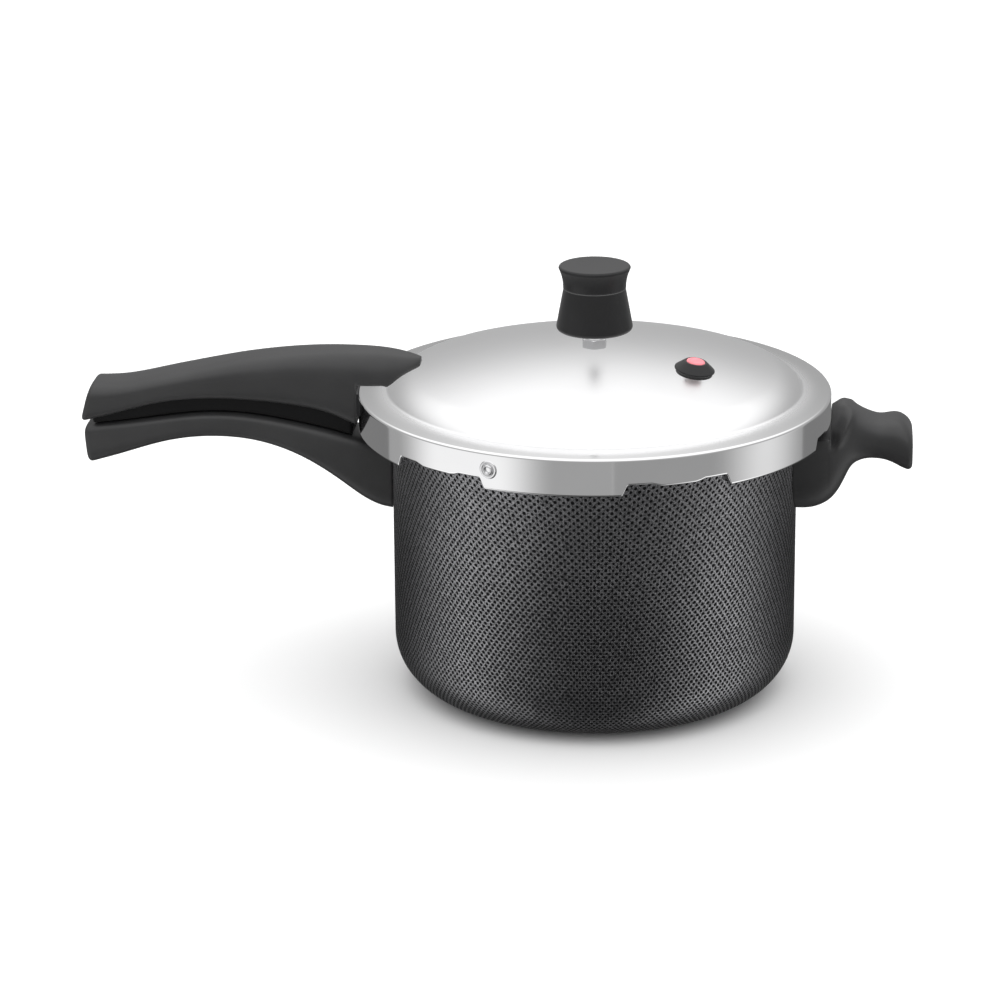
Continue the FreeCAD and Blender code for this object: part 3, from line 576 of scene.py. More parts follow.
@dataclass
class Skin:
    """A grid of points that closes round its columns, ready to become a piece.

    rings has one row for each station, one column for each place round it, and the three
    coordinates in millimetres.  The first and last rows close in a pole at their middle, or
    on each other when looped.
    """

    name: str
    rings: np.ndarray
    looped: bool = False
    lattice: np.ndarray | None = None
    finish_rows: tuple[int, int] | None = None

    def faces(self) -> tuple[np.ndarray, np.ndarray, np.ndarray]:
        """Quads between the rows and triangles to the poles, as vertex numbers.

        Returns:
            The quads, the triangles, and the row that each quad starts from.
        """
        rows, columns = self.rings.shape[:2]
        last = rows if self.looped else rows - 1
        row, column = np.meshgrid(np.arange(last), np.arange(columns), indexing="ij")
        after, beside = (row + 1) % rows, (column + 1) % columns
        quads = np.stack([row * columns + column, row * columns + beside,
                          after * columns + beside, after * columns + column], -1).reshape(-1, 4)
        if self.looped:
            return quads, np.zeros((0, 3), int), row.ravel()
        ring = np.arange(columns)
        beside = (ring + 1) % columns
        first_pole, last_pole = rows * columns, rows * columns + 1
        first = np.stack([beside, ring, np.full(columns, first_pole)], -1)
        top = (rows - 1) * columns
        final = np.stack([top + ring, top + beside, np.full(columns, last_pole)], -1)
        return quads, np.concatenate([first, final]), row.ravel()

    def build(self, materials: Sequence[bpy.types.Material]) -> bpy.types.Object:
        """Make the object, with faces outwards and smooth shading.

        Args:
            materials: the finish, or two when finish_rows says which rows take the second.

        Returns:
            The new object, linked into the scene.
        """
        points = self.rings.reshape(-1, 3)
        if not self.looped:
            points = np.concatenate([points, self.rings[:1].mean(1), self.rings[-1:].mean(1)])
        points = points * METRES
        quads, triangles, rows = self.faces()
        flip = self._inward(points[quads])
        if flip:
            quads, triangles = quads[:, ::-1], triangles[:, ::-1]
        mesh = self._mesh(points, quads, triangles)
        if self.finish_rows is not None:
            self._split_finish(mesh, rows, len(triangles))
        if self.lattice is not None:
            self._add_map(mesh, flip, len(triangles))
        mesh.update(calc_edges=True)
        mesh.validate()
        for material in materials:
            mesh.materials.append(material)
        piece = bpy.data.objects.new(self.name, mesh)
        bpy.context.scene.collection.objects.link(piece)
        return piece

    def _inward(self, corners: np.ndarray) -> bool:
        """Whether the faces point inwards, when the volume that they enclose is negative.

        Each quad's volume with the origin is its first corner along the sum of its two
        triangles' cross products.

        Args:
            corners: the four corners of every quad.

        Returns:
            True when the faces have to be turned.
        """
        a, b, c, d = np.moveaxis(corners, 1, 0)
        return float(np.sum(a * (np.cross(b - a, c - a) + np.cross(c - a, d - a)))) < 0.0

    def _mesh(self, points: np.ndarray, quads: np.ndarray, triangles: np.ndarray) -> bpy.types.Mesh:
        """Smooth mesh of the quads, then of the triangles.

        Args:
            points: every corner, in metres.
            quads: corner numbers, four to a row.
            triangles: corner numbers, three to a row.

        Returns:
            The mesh, before its edges are worked out.
        """
        mesh = bpy.data.meshes.new(self.name)
        mesh.vertices.add(len(points))
        mesh.vertices.foreach_set("co", points.astype(np.float32).ravel())
        loops = np.concatenate([quads.ravel(), triangles.ravel()]).astype(np.int32)
        mesh.loops.add(len(loops))
        mesh.loops.foreach_set("vertex_index", loops)
        count = len(quads) + len(triangles)
        starts = np.concatenate([np.arange(len(quads)) * 4,
                                 len(quads) * 4 + np.arange(len(triangles)) * 3])
        mesh.polygons.add(count)
        mesh.polygons.foreach_set("loop_start", starts.astype(np.int32))
        mesh.polygons.foreach_set("use_smooth", np.ones(count, bool))
        return mesh

    def _split_finish(self, mesh: bpy.types.Mesh, rows: np.ndarray, triangles: int) -> None:
        """Give the second finish to the chosen rows and to the last pole.

        Args:
            mesh: the mesh whose faces are marked.
            rows: the row that each quad starts from.
            triangles: how many triangles close the poles.
        """
        second = (rows >= self.finish_rows[0]) & (rows < self.finish_rows[1])
        index = np.concatenate([second, np.ones(triangles, bool)])
        index[len(rows):len(rows) + triangles // 2] = False
        mesh.polygons.foreach_set("material_index", index.astype(np.int32))

    def _add_map(self, mesh: bpy.types.Mesh, flip: bool, triangles: int) -> None:
        """Write the dots' lattice as a map; it has one column more than the rings.

        Args:
            mesh: the mesh that takes the map.
            flip: whether its faces were turned.
            triangles: how many triangles close the poles.
        """
        left, right = self.lattice[:, :-1], self.lattice[:, 1:]
        spots = np.stack([left[:-1], right[:-1], right[1:], left[1:]], 2).reshape(-1, 4, 2)
        if flip:
            spots = spots[:, ::-1]
        rest = np.zeros((triangles * 3, 2))
        layer = mesh.uv_layers.new(name=DOT_MAP)
        values = np.concatenate([spots.reshape(-1, 2), rest])
        layer.data.foreach_set("uv", values.astype(np.float32).ravel())


def turned(name: str, path: np.ndarray, columns: int = 128, looped: bool = False) -> Skin:
    """A path of radii and heights carried round the upright axis.

    Args:
        name: the piece's name.
        path: radius and height, one row to a point.
        columns: points round the axis.
        looped: whether the path closes on itself.

    Returns:
        The skin, not yet a piece.
    """
    angle = np.linspace(0.0, 2.0 * math.pi, columns, endpoint=False)
    radius, height = path[:, 0][:, None], path[:, 1][:, None]
    rings = np.stack([radius * np.cos(angle), radius * np.sin(angle), height + 0.0 * angle], -1)
    return Skin(name, rings, looped)


def aimed(skin: Skin, turn: Matrix) -> Skin:
    """The same skin with every point carried by a matrix in millimetres.

    Args:
        skin: the skin to carry.
        turn: the matrix.

    Returns:
        The same skin.
    """
    matrix = np.array(turn, float)
    skin.rings = skin.rings @ matrix[:3, :3].T + matrix[:3, 3]
    return skin


def place_piece(piece: bpy.types.Object, body: Body, slot: Slot, *nodes: str) -> None:
    """Ride a piece on its body and hide the frame nodes that it stands for.

    Black mouldings are kept out of the reflections, which stay those of the white studio.

    Args:
        piece: the new object.
        body: the body that it rides on.
        slot: its material slot.
        nodes: the frame nodes that it replaces.
    """
    piece.visible_glossy = slot is not Slot.GRIP
    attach(piece, body.value)
    if nodes:
        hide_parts(*nodes)
    log.info("%s: %d faces", piece.name, len(piece.data.polygons))


# ------------------------------------------------------------------ pot


@dataclass
class PotBody:
    """Deep-drawn pot with a rounded corner, a rim flange and hooked bayonet lugs."""

    wall: float = 2.0
    floor: float = 4.0
    corner: float = 28.0
    radius: float = 102.0
    rim_radius: float = 108.0
    rim_thick: float = 2.8
    lug_count: int = 6
    lug_span: float = 24.0
    lug_turn: float = -98.5
    lug_lip: float = 2.4
    lug_drop: float = 8.8
    dot_columns: int = 183
    row_pair: float = 3.42
    crowd: tuple[float, float] = (0.25, -0.25)
    crowd_height: tuple[float, float] = (45.0, 145.0)
    height: float = field(init=False)
    lug_radius: float = field(init=False)

    def __post_init__(self) -> None:
        """Take the overall sizes from the frame."""
        low, high = box_mm("pot_body")
        self.height = float(high[2])
        self.lug_radius = float(max(high[0], high[1], -low[0], -low[1]))

    def outer_wall(self) -> np.ndarray:
        """Radii and heights from the base's middle up to the rim's underside."""
        under = self.height - self.rim_thick
        return rounded_path([(0.5, 0.0, 0), (self.radius, 0.0, self.corner), (self.radius, under, 0)], 24)

    def section(self, lug: bool) -> np.ndarray:
        """Radii and heights from the base's middle, up outside, over the rim and down inside.

        Args:
            lug: whether the section passes through a lug.

        Returns:
            The points of the section, one row each.
        """
        under = self.height - self.rim_thick
        out = self.lug_radius if lug else self.rim_radius
        hook = self.height - self.lug_drop if lug else under - 0.05
        lip = out - self.lug_lip if lug else out - 0.6
        inner = self.radius - self.wall
        bend = self.corner - self.wall
        rim = rounded_path([(self.radius, under - 1.0, 0), (self.radius, under, 0.8),
                            (lip, under, 0.3), (lip, hook, 0.3), (out, hook, 0.5),
                            (out, self.height, 0.9), (inner, self.height, 0.9),
                            (inner, self.height - 3.0, 0)], 4)
        inside = rounded_path([(inner, self.height - 3.2, 0), (inner, self.floor, bend),
                               (0.5, self.floor, 0)], 16)
        return np.concatenate([self.outer_wall()[:-1], rim, inside])

    def lug_share(self, angle: np.ndarray) -> np.ndarray:
        """1 within a lug's span and 0 outside it, with ends half a degree wide.

        Args:
            angle: directions round the axis, in radians.

        Returns:
            The share at each direction.
        """
        pitch = 360.0 / self.lug_count
        away = np.abs((np.degrees(angle) - self.lug_turn + pitch / 2) % pitch - pitch / 2)
        return 1.0 - smooth_step(away, self.lug_span / 2 - 0.5, self.lug_span / 2)

    def skin(self) -> Skin:
        """The plain rim's section and the lug's, mixed by how far the angle is in a lug.

        Returns:
            The skin, with the dots' lattice.
        """
        even = np.linspace(0.0, 360.0, 240, endpoint=False)
        pitch = 360.0 / self.lug_count
        middles = self.lug_turn + pitch * np.arange(self.lug_count)
        ends = np.concatenate([middles - self.lug_span / 2, middles + self.lug_span / 2])
        dense = (ends[:, None] + np.linspace(-0.6, 0.6, 7)).ravel() % 360.0
        angle = np.radians(np.unique(np.round(np.concatenate([even, dense]), 4)))
        share = self.lug_share(angle)[None, :, None]
        plain, hooked = self.section(False)[:, None], self.section(True)[:, None]
        path = plain + share * (hooked - plain)
        radius, height = path[..., 0], path[..., 1]
        rings = np.stack([radius * np.cos(angle), radius * np.sin(angle), height], -1)
        bare_from = len(self.outer_wall()) - 1
        skin = Skin("pot_body_drawn", rings, finish_rows=(bare_from, len(rings)))
        skin.lattice = self.lattice(angle, self.section(False))
        return skin

    def lattice(self, angle: np.ndarray, path: np.ndarray) -> np.ndarray:
        """Column and row-pair numbers of the printed dots.

        Columns are N/2π times the angle from the front plus a share of its sine, so that they
        crowd together below and spread towards the rim at the front.  Rows go by the length
        of the section's line.

        Args:
            angle: directions of the columns, in radians.
            path: the section that the rows follow.

        Returns:
            Two numbers for each row and column.
        """
        angle = np.append(angle, angle[0] + 2.0 * math.pi) - math.radians(FRONT_TURN)
        share = smooth_step(path[:, 1], *self.crowd_height)
        crowd = self.crowd[0] + (self.crowd[1] - self.crowd[0]) * share
        along = np.concatenate([[0.0], np.cumsum(np.linalg.norm(np.diff(path, axis=0), axis=1))])
        column = self.dot_columns / (2.0 * math.pi) * (angle + crowd[:, None] * np.sin(angle))
        row = along[:, None] / self.row_pair + 0.0 * angle
        return np.stack([column, row], -1)

    def build(self) -> None:
        """Make and dress the pot."""
        bare = SpunMetal("drawn_aluminium", (0.78, 0.78, 0.79), 0.34, 0.5, 900.0).build()
        coating = DottedCoating(self.dot_columns, self.radius, self.row_pair, self.crowd,
                                self.crowd_height)
        piece = self.skin().build([coating.build(), bare])
        place_piece(piece, Body.POT, Slot.COATING, "pot_body")


# ------------------------------------------------------------------ lid


@dataclass
class LidShell:
    """Pressed lid: dome, flat shoulder, rolled edge, and a skirt with tabs and windows."""

    sheet: float = 2.2
    edge: float = 1.4
    crease: float = 1.0
    shoulder: float = 14.2
    shoulder_fall: float = 0.95
    dome_rise: float = 20.7
    knuckle: float = 25.0
    knuckle_slope: float = 52.0
    ledge: float = 7.3
    tab_count: int = 6
    tab_turn: float = -96.5
    window_span: float = 26.0
    window_rise: float = 5.5
    bulge_span: float = 11.0
    bulge_drop: float = 1.3
    side_width: float = 3.6
    tab_bend: float = 1.1
    window_bend: float = 2.6
    radius: float = field(init=False)
    top: float = field(init=False)
    foot: float = field(init=False)

    def __post_init__(self) -> None:
        """Take the overall sizes from the frame."""
        low, high = box_mm("lid_shell")
        self.radius = float(high[0])
        self.foot = float(low[2])
        self.top = float(high[2]) - self.dome_rise

    def dome(self, offset: float, count: int) -> np.ndarray:
        """Radii and heights of the dome from its top to its foot.

        A shallow cap runs tangentially into a tighter knuckle, which meets the shoulder at
        the knuckle's slope.

        Args:
            offset: depth below the outer surface.
            count: points along the cap.

        Returns:
            The points of the dome, one row each.
        """
        slope = math.radians(self.knuckle_slope)
        foot_radius = self.radius - self.shoulder
        middle = foot_radius - self.knuckle * math.sin(slope)
        low = self.top - self.knuckle * math.cos(slope)
        gap = self.dome_rise + (self.top - low) - self.knuckle
        cap = (middle ** 2 + gap ** 2) / (2.0 * gap) + self.knuckle
        join = math.asin(middle / (cap - self.knuckle))
        flat = np.linspace(0.002, join, count)
        bend = np.linspace(join, slope, count // 2)[1:]
        cap_part = np.stack([(cap - offset) * np.sin(flat),
                             self.top + self.dome_rise - cap + (cap - offset) * np.cos(flat)], -1)
        bend_part = np.stack([middle + (self.knuckle - offset) * np.sin(bend),
                              low + (self.knuckle - offset) * np.cos(bend)], -1)
        return np.concatenate([cap_part, bend_part])

    def section(self, tab: bool) -> np.ndarray:
        """Radii and heights from the dome's top, out over the edge and back in below.

        Args:
            tab: whether the section passes through a tab.

        Returns:
            The points of the section, one row each.
        """
        outer = self.dome(0.0, 30)
        inner = self.dome(self.sheet, 16)[::-1]
        foot = self.foot if tab else self.foot + self.window_rise
        inside = self.radius - self.sheet
        ledge = self.radius - self.sheet - self.ledge if tab else inside - 0.05
        bend = self.tab_bend if tab else self.window_bend
        under = self.top - self.sheet
        step = self.sheet if tab else 0.3
        rim = rounded_path([
            tuple(outer[-1]) + (0,),
            (outer[-1, 0] + 0.6, self.top, self.crease),
            (self.radius, self.top - self.shoulder_fall, self.edge),
            (self.radius, foot, bend),
            (ledge, foot, 0.4),
            (ledge, foot + step, 0.4),
            (inside, foot + step, 0.2),
            (inside, under, 1.0),
            (inner[0, 0] + 0.5, under, 0.8),
            tuple(inner[0]) + (0,)], 6)
        return np.concatenate([outer, rim[1:-1], inner])

    def edge_shares(self, angle: np.ndarray) -> tuple[np.ndarray, np.ndarray, np.ndarray]:
        """How far each angle lies in a tab, in its ledge, and in a window's bulge.

        The ledge begins where the tab has reached its full depth, so that it passes the lugs.

        Args:
            angle: directions round the axis, in radians.

        Returns:
            The three shares at each direction.
        """
        pitch = 360.0 / self.tab_count
        middle = self.tab_turn + pitch / 2
        away = np.abs((np.degrees(angle) - middle + pitch / 2) % pitch - pitch / 2)
        half = math.degrees(self.side_width / 2 / self.radius)
        tab = smooth_step(away, self.window_span / 2 - half, self.window_span / 2 + half)
        ledge = smooth_step(away, self.window_span / 2 + half, self.window_span / 2 + half + 0.4)
        bulge = 1.0 - smooth_step(away, self.bulge_span / 2 - half, self.bulge_span / 2 + half)
        return tab, ledge, bulge

    def skin(self) -> Skin:
        """The window's section and the tab's, mixed by how far the angle is in a tab.

        Returns:
            The skin, not yet a piece.
        """
        pitch = 360.0 / self.tab_count
        middles = self.tab_turn + pitch / 2 + pitch * np.arange(self.tab_count)
        ends = np.concatenate([middles - self.window_span / 2, middles + self.window_span / 2])
        even = np.linspace(0.0, 360.0, 300, endpoint=False)
        dense = (ends[:, None] + np.linspace(-1.4, 1.4, 21)).ravel() % 360.0
        angle = np.radians(np.unique(np.round(np.concatenate([even, dense]), 3)))
        tab, ledge, bulge = self.edge_shares(angle)
        window, tabbed = self.section(False)[:, None], self.section(True)[:, None]
        path = window + np.stack([ledge, tab], -1)[None] * (tabbed - window)
        low = 1.0 - smooth_step(path[..., 1], self.foot + self.window_rise, self.top - 4.0)
        skirt = path[..., 0] > self.radius - self.sheet - self.ledge - 1.0
        path[..., 1] -= bulge * self.bulge_drop * low * skirt
        rings = np.stack([path[..., 0] * np.cos(angle), path[..., 0] * np.sin(angle), path[..., 1]], -1)
        return Skin("lid_shell_pressed", rings)

    def build(self) -> None:
        """Make and dress the lid."""
        piece = self.skin().build([PolishedLid().build()])
        place_piece(piece, Body.LID, Slot.LID, "lid_shell")

    def surface_height(self, radius: np.ndarray) -> np.ndarray:
        """Height of the lid's outer surface at a distance from the axis.

        Args:
            radius: distances from the axis.

        Returns:
            The heights.
        """
        path = self.dome(0.0, 30)
        heights = np.interp(radius, path[:, 0], path[:, 1])
        return np.where(radius > path[-1, 0], self.top, heights)


# ------------------------------------------------------------------ grips


@dataclass
class Grip:
    """A moulded grip: sections across X, rounded above and squarer below.

    Outlines give heights above the lid's shoulder at distances outward from a start.  A
    section's plane may bow round the cooker's axis, and lean with height.
    """

    lid: LidShell
    pot: PotBody
    name: str = "grip"
    node: str = ""
    body: Body = Body.POT
    side: int = -1
    start: float = 0.0
    top: Points = ()
    low: Points = ()
    half: Points = ()
    powers: tuple[float, float] = (3.0, 3.0)
    slant: float = 0.0
    end_round: float = 2.2
    columns: int = 112
    mirrored: bool = False

    def stations(self) -> np.ndarray:
        """Distances outward at which the sections stand."""
        raise NotImplementedError

    def bow(self, out: np.ndarray, y: np.ndarray) -> np.ndarray:
        """How far each point is carried outward: nowhere, unless a grip says so."""
        return 0.0 * y

    def shape(self, rings: np.ndarray) -> np.ndarray:
        """The points as they are, unless a grip changes them."""
        return rings

    def rings(self) -> np.ndarray:
        """Points of every section, by station and by place round it.

        A point lies at its section's middle height plus half its height times the unit
        section's up, and at its half width times the unit section's across.

        Returns:
            The points in millimetres.
        """
        across, up = superellipse(self.columns, *self.powers)
        top, low, half = SmoothCurve(self.top), SmoothCurve(self.low), SmoothCurve(self.half)
        out, inset, scale = [column[:, None] for column in self.ends()]
        y = (half(out) - inset) * scale * across
        at = out + self.bow(out, y)
        tall = (top(at) - low(at)) / 2.0
        middle = (top(at) + low(at)) / 2.0
        lift = (tall - inset) * scale * up
        lean = self.slant * np.clip(out / self.top_reach(), 0.0, 1.0) ** 4
        x = self.side * (self.start + at + (-lean * lift))
        return self.shape(np.stack([x, y, self.lid.top + middle + lift], -1))

    def top_reach(self) -> float:
        """Outward distance of the free end."""
        return max(point[0] for point in self.top)

    def ends(self) -> tuple[np.ndarray, np.ndarray, np.ndarray]:
        """Stations outward, with each section's inset and scale.

        The free end's edge is a quarter circle, and inside it the sections shrink to the
        middle of a flat face.

        Returns:
            Distance outward, inset in millimetres and scale of every section.
        """
        stations = self.stations()
        reach = stations.max()
        turn = np.linspace(0.0, math.pi / 2, 8)
        edge = reach - self.end_round * (1.0 - np.sin(turn))
        plain = stations[stations < edge[0] - 0.3]
        face = np.linspace(0.96, 0.05, 9)
        out = np.concatenate([plain, edge, np.full(len(face), reach)])
        inset = np.concatenate([0.0 * plain, self.end_round * (1.0 - np.cos(turn)),
                                np.full(len(face), self.end_round)])
        scale = np.concatenate([np.ones(len(plain) + len(edge)), face])
        return out, inset, scale

    def build(self, finish: bpy.types.Material) -> None:
        """Make and dress the grip.

        Args:
            finish: the grip's plastic.
        """
        piece = Skin(self.name, self.rings()).build([finish])
        place_piece(piece, self.body, Slot.GRIP, self.node)
        piece.visible_glossy = self.mirrored


@dataclass
class LongGrip(Grip):
    """A long handle on the left, with its outlines in shares of its reach."""

    reach: float = 138.5
    wide: float = 17.0
    top_shares: Points = ()
    low_shares: Points = ()

    def __post_init__(self) -> None:
        """Turn the shares into distances from the lid's skirt."""
        self.start = self.lid.radius
        self.top = [(share * self.reach, height) for share, height in self.top_shares]
        self.low = [(share * self.reach, height) for share, height in self.low_shares]


@dataclass
class LidGrip(LongGrip):
    """Upper long handle, whose nose reaches over the shoulder to the dome."""

    name: str = "lid_handle_moulded"
    node: str = "lid_handle"
    body: Body = Body.LID
    powers: tuple[float, float] = (3.0, 5.0)
    slant: float = 0.27
    top_shares: Points = (
        (1.0, -0.4), (0.88, 0.2), (0.73, 4.2), (0.58, 8.8), (0.44, 12.8), (0.29, 15.9),
        (0.14, 17.6), (0.0, 17.8), (-0.15, 16.0), (-0.235, 13.4))
    low_shares: Points = (
        (1.0, -20.0), (0.9, -16.2), (0.75, -10.2), (0.62, -7.4), (0.5, -6.8), (0.38, -7.6),
        (0.2, -10.5), (0.1, -14.0), (0.0, -20.0), (-0.235, -22.0))
    nose: float = 32.5
    nose_power: float = 2.5
    skirt_gap: float = 1.0
    shoulder_gap: float = 0.6
    dome_gap: float = 2.8

    def __post_init__(self) -> None:
        """Add the nose, whose half width is the root of 1 minus the inward share's power."""
        super().__post_init__()
        inward = np.linspace(0.0, 0.992, 34)
        nose_half = self.wide * np.sqrt(1.0 - inward ** self.nose_power)
        plain = [(self.reach, self.wide), (40.0, self.wide), (10.0, self.wide)]
        self.half = plain + list(zip(-self.nose * inward, nose_half))

    def inside(self) -> np.ndarray:
        """Distances of the nose's sections, closer together towards its tip."""
        return -self.nose * np.sin(np.linspace(0.0, 1.43, 44))

    def stations(self) -> np.ndarray:
        """Distances outward at which the sections stand.

        Returns:
            The distances, in order.
        """
        outside = np.linspace(self.skirt_gap, self.reach, 110)
        inside = self.inside()[::-1] + self.skirt_gap
        return np.concatenate([inside, [self.skirt_gap + 0.001], outside[1:]])

    def bow(self, out: np.ndarray, y: np.ndarray) -> np.ndarray:
        """Sections near the skirt follow its circle: the root of R² − y², less R.

        Args:
            out: distances outward.
            y: places across.

        Returns:
            How far each point is carried outward.
        """
        near = 1.0 - smooth_step(np.abs(out), 6.0, 22.0)
        edge = self.lid.radius + self.skirt_gap
        return near * (np.sqrt(edge ** 2 - y ** 2) - edge)

    def shape(self, rings: np.ndarray) -> np.ndarray:
        """Clear the lid inside the skirt.

        Args:
            rings: the points of every section.

        Returns:
            The points, with those of the nose held above the lid by a gap.
        """
        distance = np.hypot(rings[..., 0], rings[..., 1])
        rise = self.dome_gap - self.shoulder_gap
        floor = self.lid.surface_height(distance) + self.shoulder_gap
        floor = floor + rise * smooth_step(distance, 101.0, 107.0)
        inner = np.arange(len(rings))[:, None] < len(self.inside())
        rings[..., 2] = np.where(inner, np.maximum(rings[..., 2], floor), rings[..., 2])
        return rings


@dataclass
class PotGrip(LongGrip):
    """Lower long handle, whose root deepens down the pot's wall."""

    name: str = "pot_handle_moulded"
    node: str = "pot_handle"
    powers: tuple[float, float] = (6.0, 3.5)
    slant: float = -0.08
    top_shares: Points = (
        (1.0, -21.6), (0.87, -19.6), (0.72, -16.6), (0.57, -14.1), (0.5, -13.8), (0.39, -14.7),
        (0.21, -18.9), (0.1, -22.3), (0.0, -25.8), (-0.13, -29.5))
    low_shares: Points = (
        (1.0, -42.3), (0.87, -37.0), (0.72, -30.5), (0.58, -27.3), (0.5, -27.0), (0.36, -29.3),
        (0.21, -37.0), (0.07, -49.5), (-0.07, -62.3), (-0.13, -64.2))
    wall_gap: float = 0.2

    def __post_init__(self) -> None:
        """Start at the pot's wall."""
        super().__post_init__()
        self.wall = self.pot.radius + self.wall_gap - self.lid.radius
        self.half = [(self.reach, self.wide), (60.0, self.wide), (self.wall, self.wide)]

    def stations(self) -> np.ndarray:
        """Distances outward at which the sections stand."""
        return np.linspace(self.wall, self.reach, 120)

    def bow(self, out: np.ndarray, y: np.ndarray) -> np.ndarray:
        """Sections near the wall follow its circle: the root of R² − y², less R.

        Args:
            out: distances outward.
            y: places across.

        Returns:
            How far each point is carried outward.
        """
        near = 1.0 - smooth_step(out, self.wall, self.wall + 24.0)
        edge = self.pot.radius + self.wall_gap
        return near * (np.sqrt(edge ** 2 - y ** 2) - edge)


@dataclass
class PaintedShadeKeel(Grip):
    """Painted shade: a rib under the upper long handle that hangs just clear of the lower one, dark so that
    it stands in for the shadow in the gap.
    """

    name: str = "lid_handle_painted_shade_keel"
    node: str = "lid_handle"
    body: Body = Body.LID
    powers: tuple[float, float] = (8.0, 8.0)
    end_round: float = 1.0
    mirrored: bool = True
    first: float = 3.0
    last: float = 135.0
    half_width: float = 12.5
    gap: float = 0.5
    bury: float = 3.0
    least: float = 1.0

    def __post_init__(self) -> None:
        """Lay the painted-shade keel between the outlines of the two handles."""
        self.start = self.lid.radius
        at = np.linspace(self.first, self.last, 26)
        low = SmoothCurve(PotGrip(self.lid, self.pot).top)(at) + self.gap
        high = SmoothCurve(LidGrip(self.lid, self.pot).low)(at) + self.bury
        self.low = list(zip(at, low))
        self.top = list(zip(at, np.maximum(high, low + self.least)))
        middle = 0.5 * (self.first + self.last)
        self.half = [(place, self.half_width) for place in (self.first, middle, self.last)]

    def stations(self) -> np.ndarray:
        """Distances outward at which the sections stand."""
        return np.linspace(self.first, self.last, 90)


@dataclass
class HelperGrip(Grip):
    """Helper handle: a block on the wall, a scooped horn outside the lid and a flared end."""

    name: str = "helper_handle_moulded"
    node: str = "helper_handle"
    side: int = 1
    powers: tuple[float, float] = (3.0, 2.6)
    end_round: float = 2.6
    top: Points = (
        (-3.0, -16.0), (10.0, -12.0), (18.5, -7.2), (23.2, -5.2), (28.5, -8.0), (36.2, -12.0),
        (41.9, -13.4), (48.9, -12.8), (53.4, -14.5), (57.5, -18.5))
    low: Points = (
        (-3.0, -60.0), (7.7, -59.8), (14.1, -57.4), (19.6, -52.4), (23.5, -45.4), (26.5, -39.0),
        (30.4, -35.2), (37.9, -33.4), (47.5, -35.0), (54.8, -38.2), (57.5, -38.5))
    wide: float = 21.0
    half_shares: Points = (
        (-3.0, 1.0), (12.0, 1.0), (22.0, 0.93), (30.0, 0.78), (38.0, 0.74), (48.0, 0.86),
        (57.5, 0.95))
    lid_gap: float = 0.8
    scoop: float = 0.8
    dish: float = 5.0
    ridge: float = 1.6
    ridge_level: float = -13.0
    ridge_start: float = 7.0
    ridge_slope: float = 0.45

    def __post_init__(self) -> None:
        """Start at the pot's wall, and split where the lid's skirt has passed."""
        self.start = self.pot.radius
        self.half = [(place, self.wide * share) for place, share in self.half_shares]
        self.split = self.lid.radius + self.lid_gap - self.pot.radius

    def root(self) -> np.ndarray:
        """Distances of the block's sections."""
        return np.linspace(0.2, self.split, 26)

    def stations(self) -> np.ndarray:
        """Distances outward at which the sections stand."""
        return np.concatenate([self.root(), np.linspace(self.split + 0.001, self.top_reach(), 96)])

    def bow(self, out: np.ndarray, y: np.ndarray) -> np.ndarray:
        """Sections follow the wall's circle, and the horn's face curves back at its sides.

        Args:
            out: distances outward.
            y: places across.

        Returns:
            The root of R² − y² less R, fading outward, plus a hollow by the side's power.
        """
        edge = self.pot.radius + out
        near = 1.0 - smooth_step(out, self.split + 4.0, 50.0)
        hollow = self.scoop * (1.0 - smooth_step(out, self.split, self.split + 18.0)) * (out > self.split)
        return near * (np.sqrt(edge ** 2 - y ** 2) - edge) + hollow * np.abs(y / self.wide) ** 2.5

    def shape(self, rings: np.ndarray) -> np.ndarray:
        """Level the block under the lid's turning space, and dish the horn's front.

        The dish is a smooth step across a slanted edge, and the ridge along that edge is a
        bell curve; both fade out above and below.

        Args:
            rings: the points of every section.

        Returns:
            The changed points.
        """
        inner = np.arange(len(rings))[:, None] < len(self.root())
        turn_foot = self.lid.foot - self.lid_gap
        rings[..., 2] = np.where(inner, np.minimum(rings[..., 2], turn_foot), rings[..., 2])
        x, y, z = np.moveaxis(rings, -1, 0)
        along = x - self.pot.radius - self.split
        across = z - self.lid.top - self.ridge_level
        edge = along - self.ridge_start - self.ridge_slope * across
        press = 1.0 - smooth_step(edge, -5.0, 0.5)
        crest = np.exp(-((edge - 0.6) / 2.0) ** 2)
        fade = smooth_step(across, -13.0, -7.0) * (1.0 - smooth_step(across, 5.0, 10.0))
        side = np.abs(y / self.wide) ** 0.5 * ~inner * fade
        rings[..., 1] = y - np.sign(y) * (self.dish * press - self.ridge * crest) * side
        return rings


# ------------------------------------------------------------------ weight, vent, valve


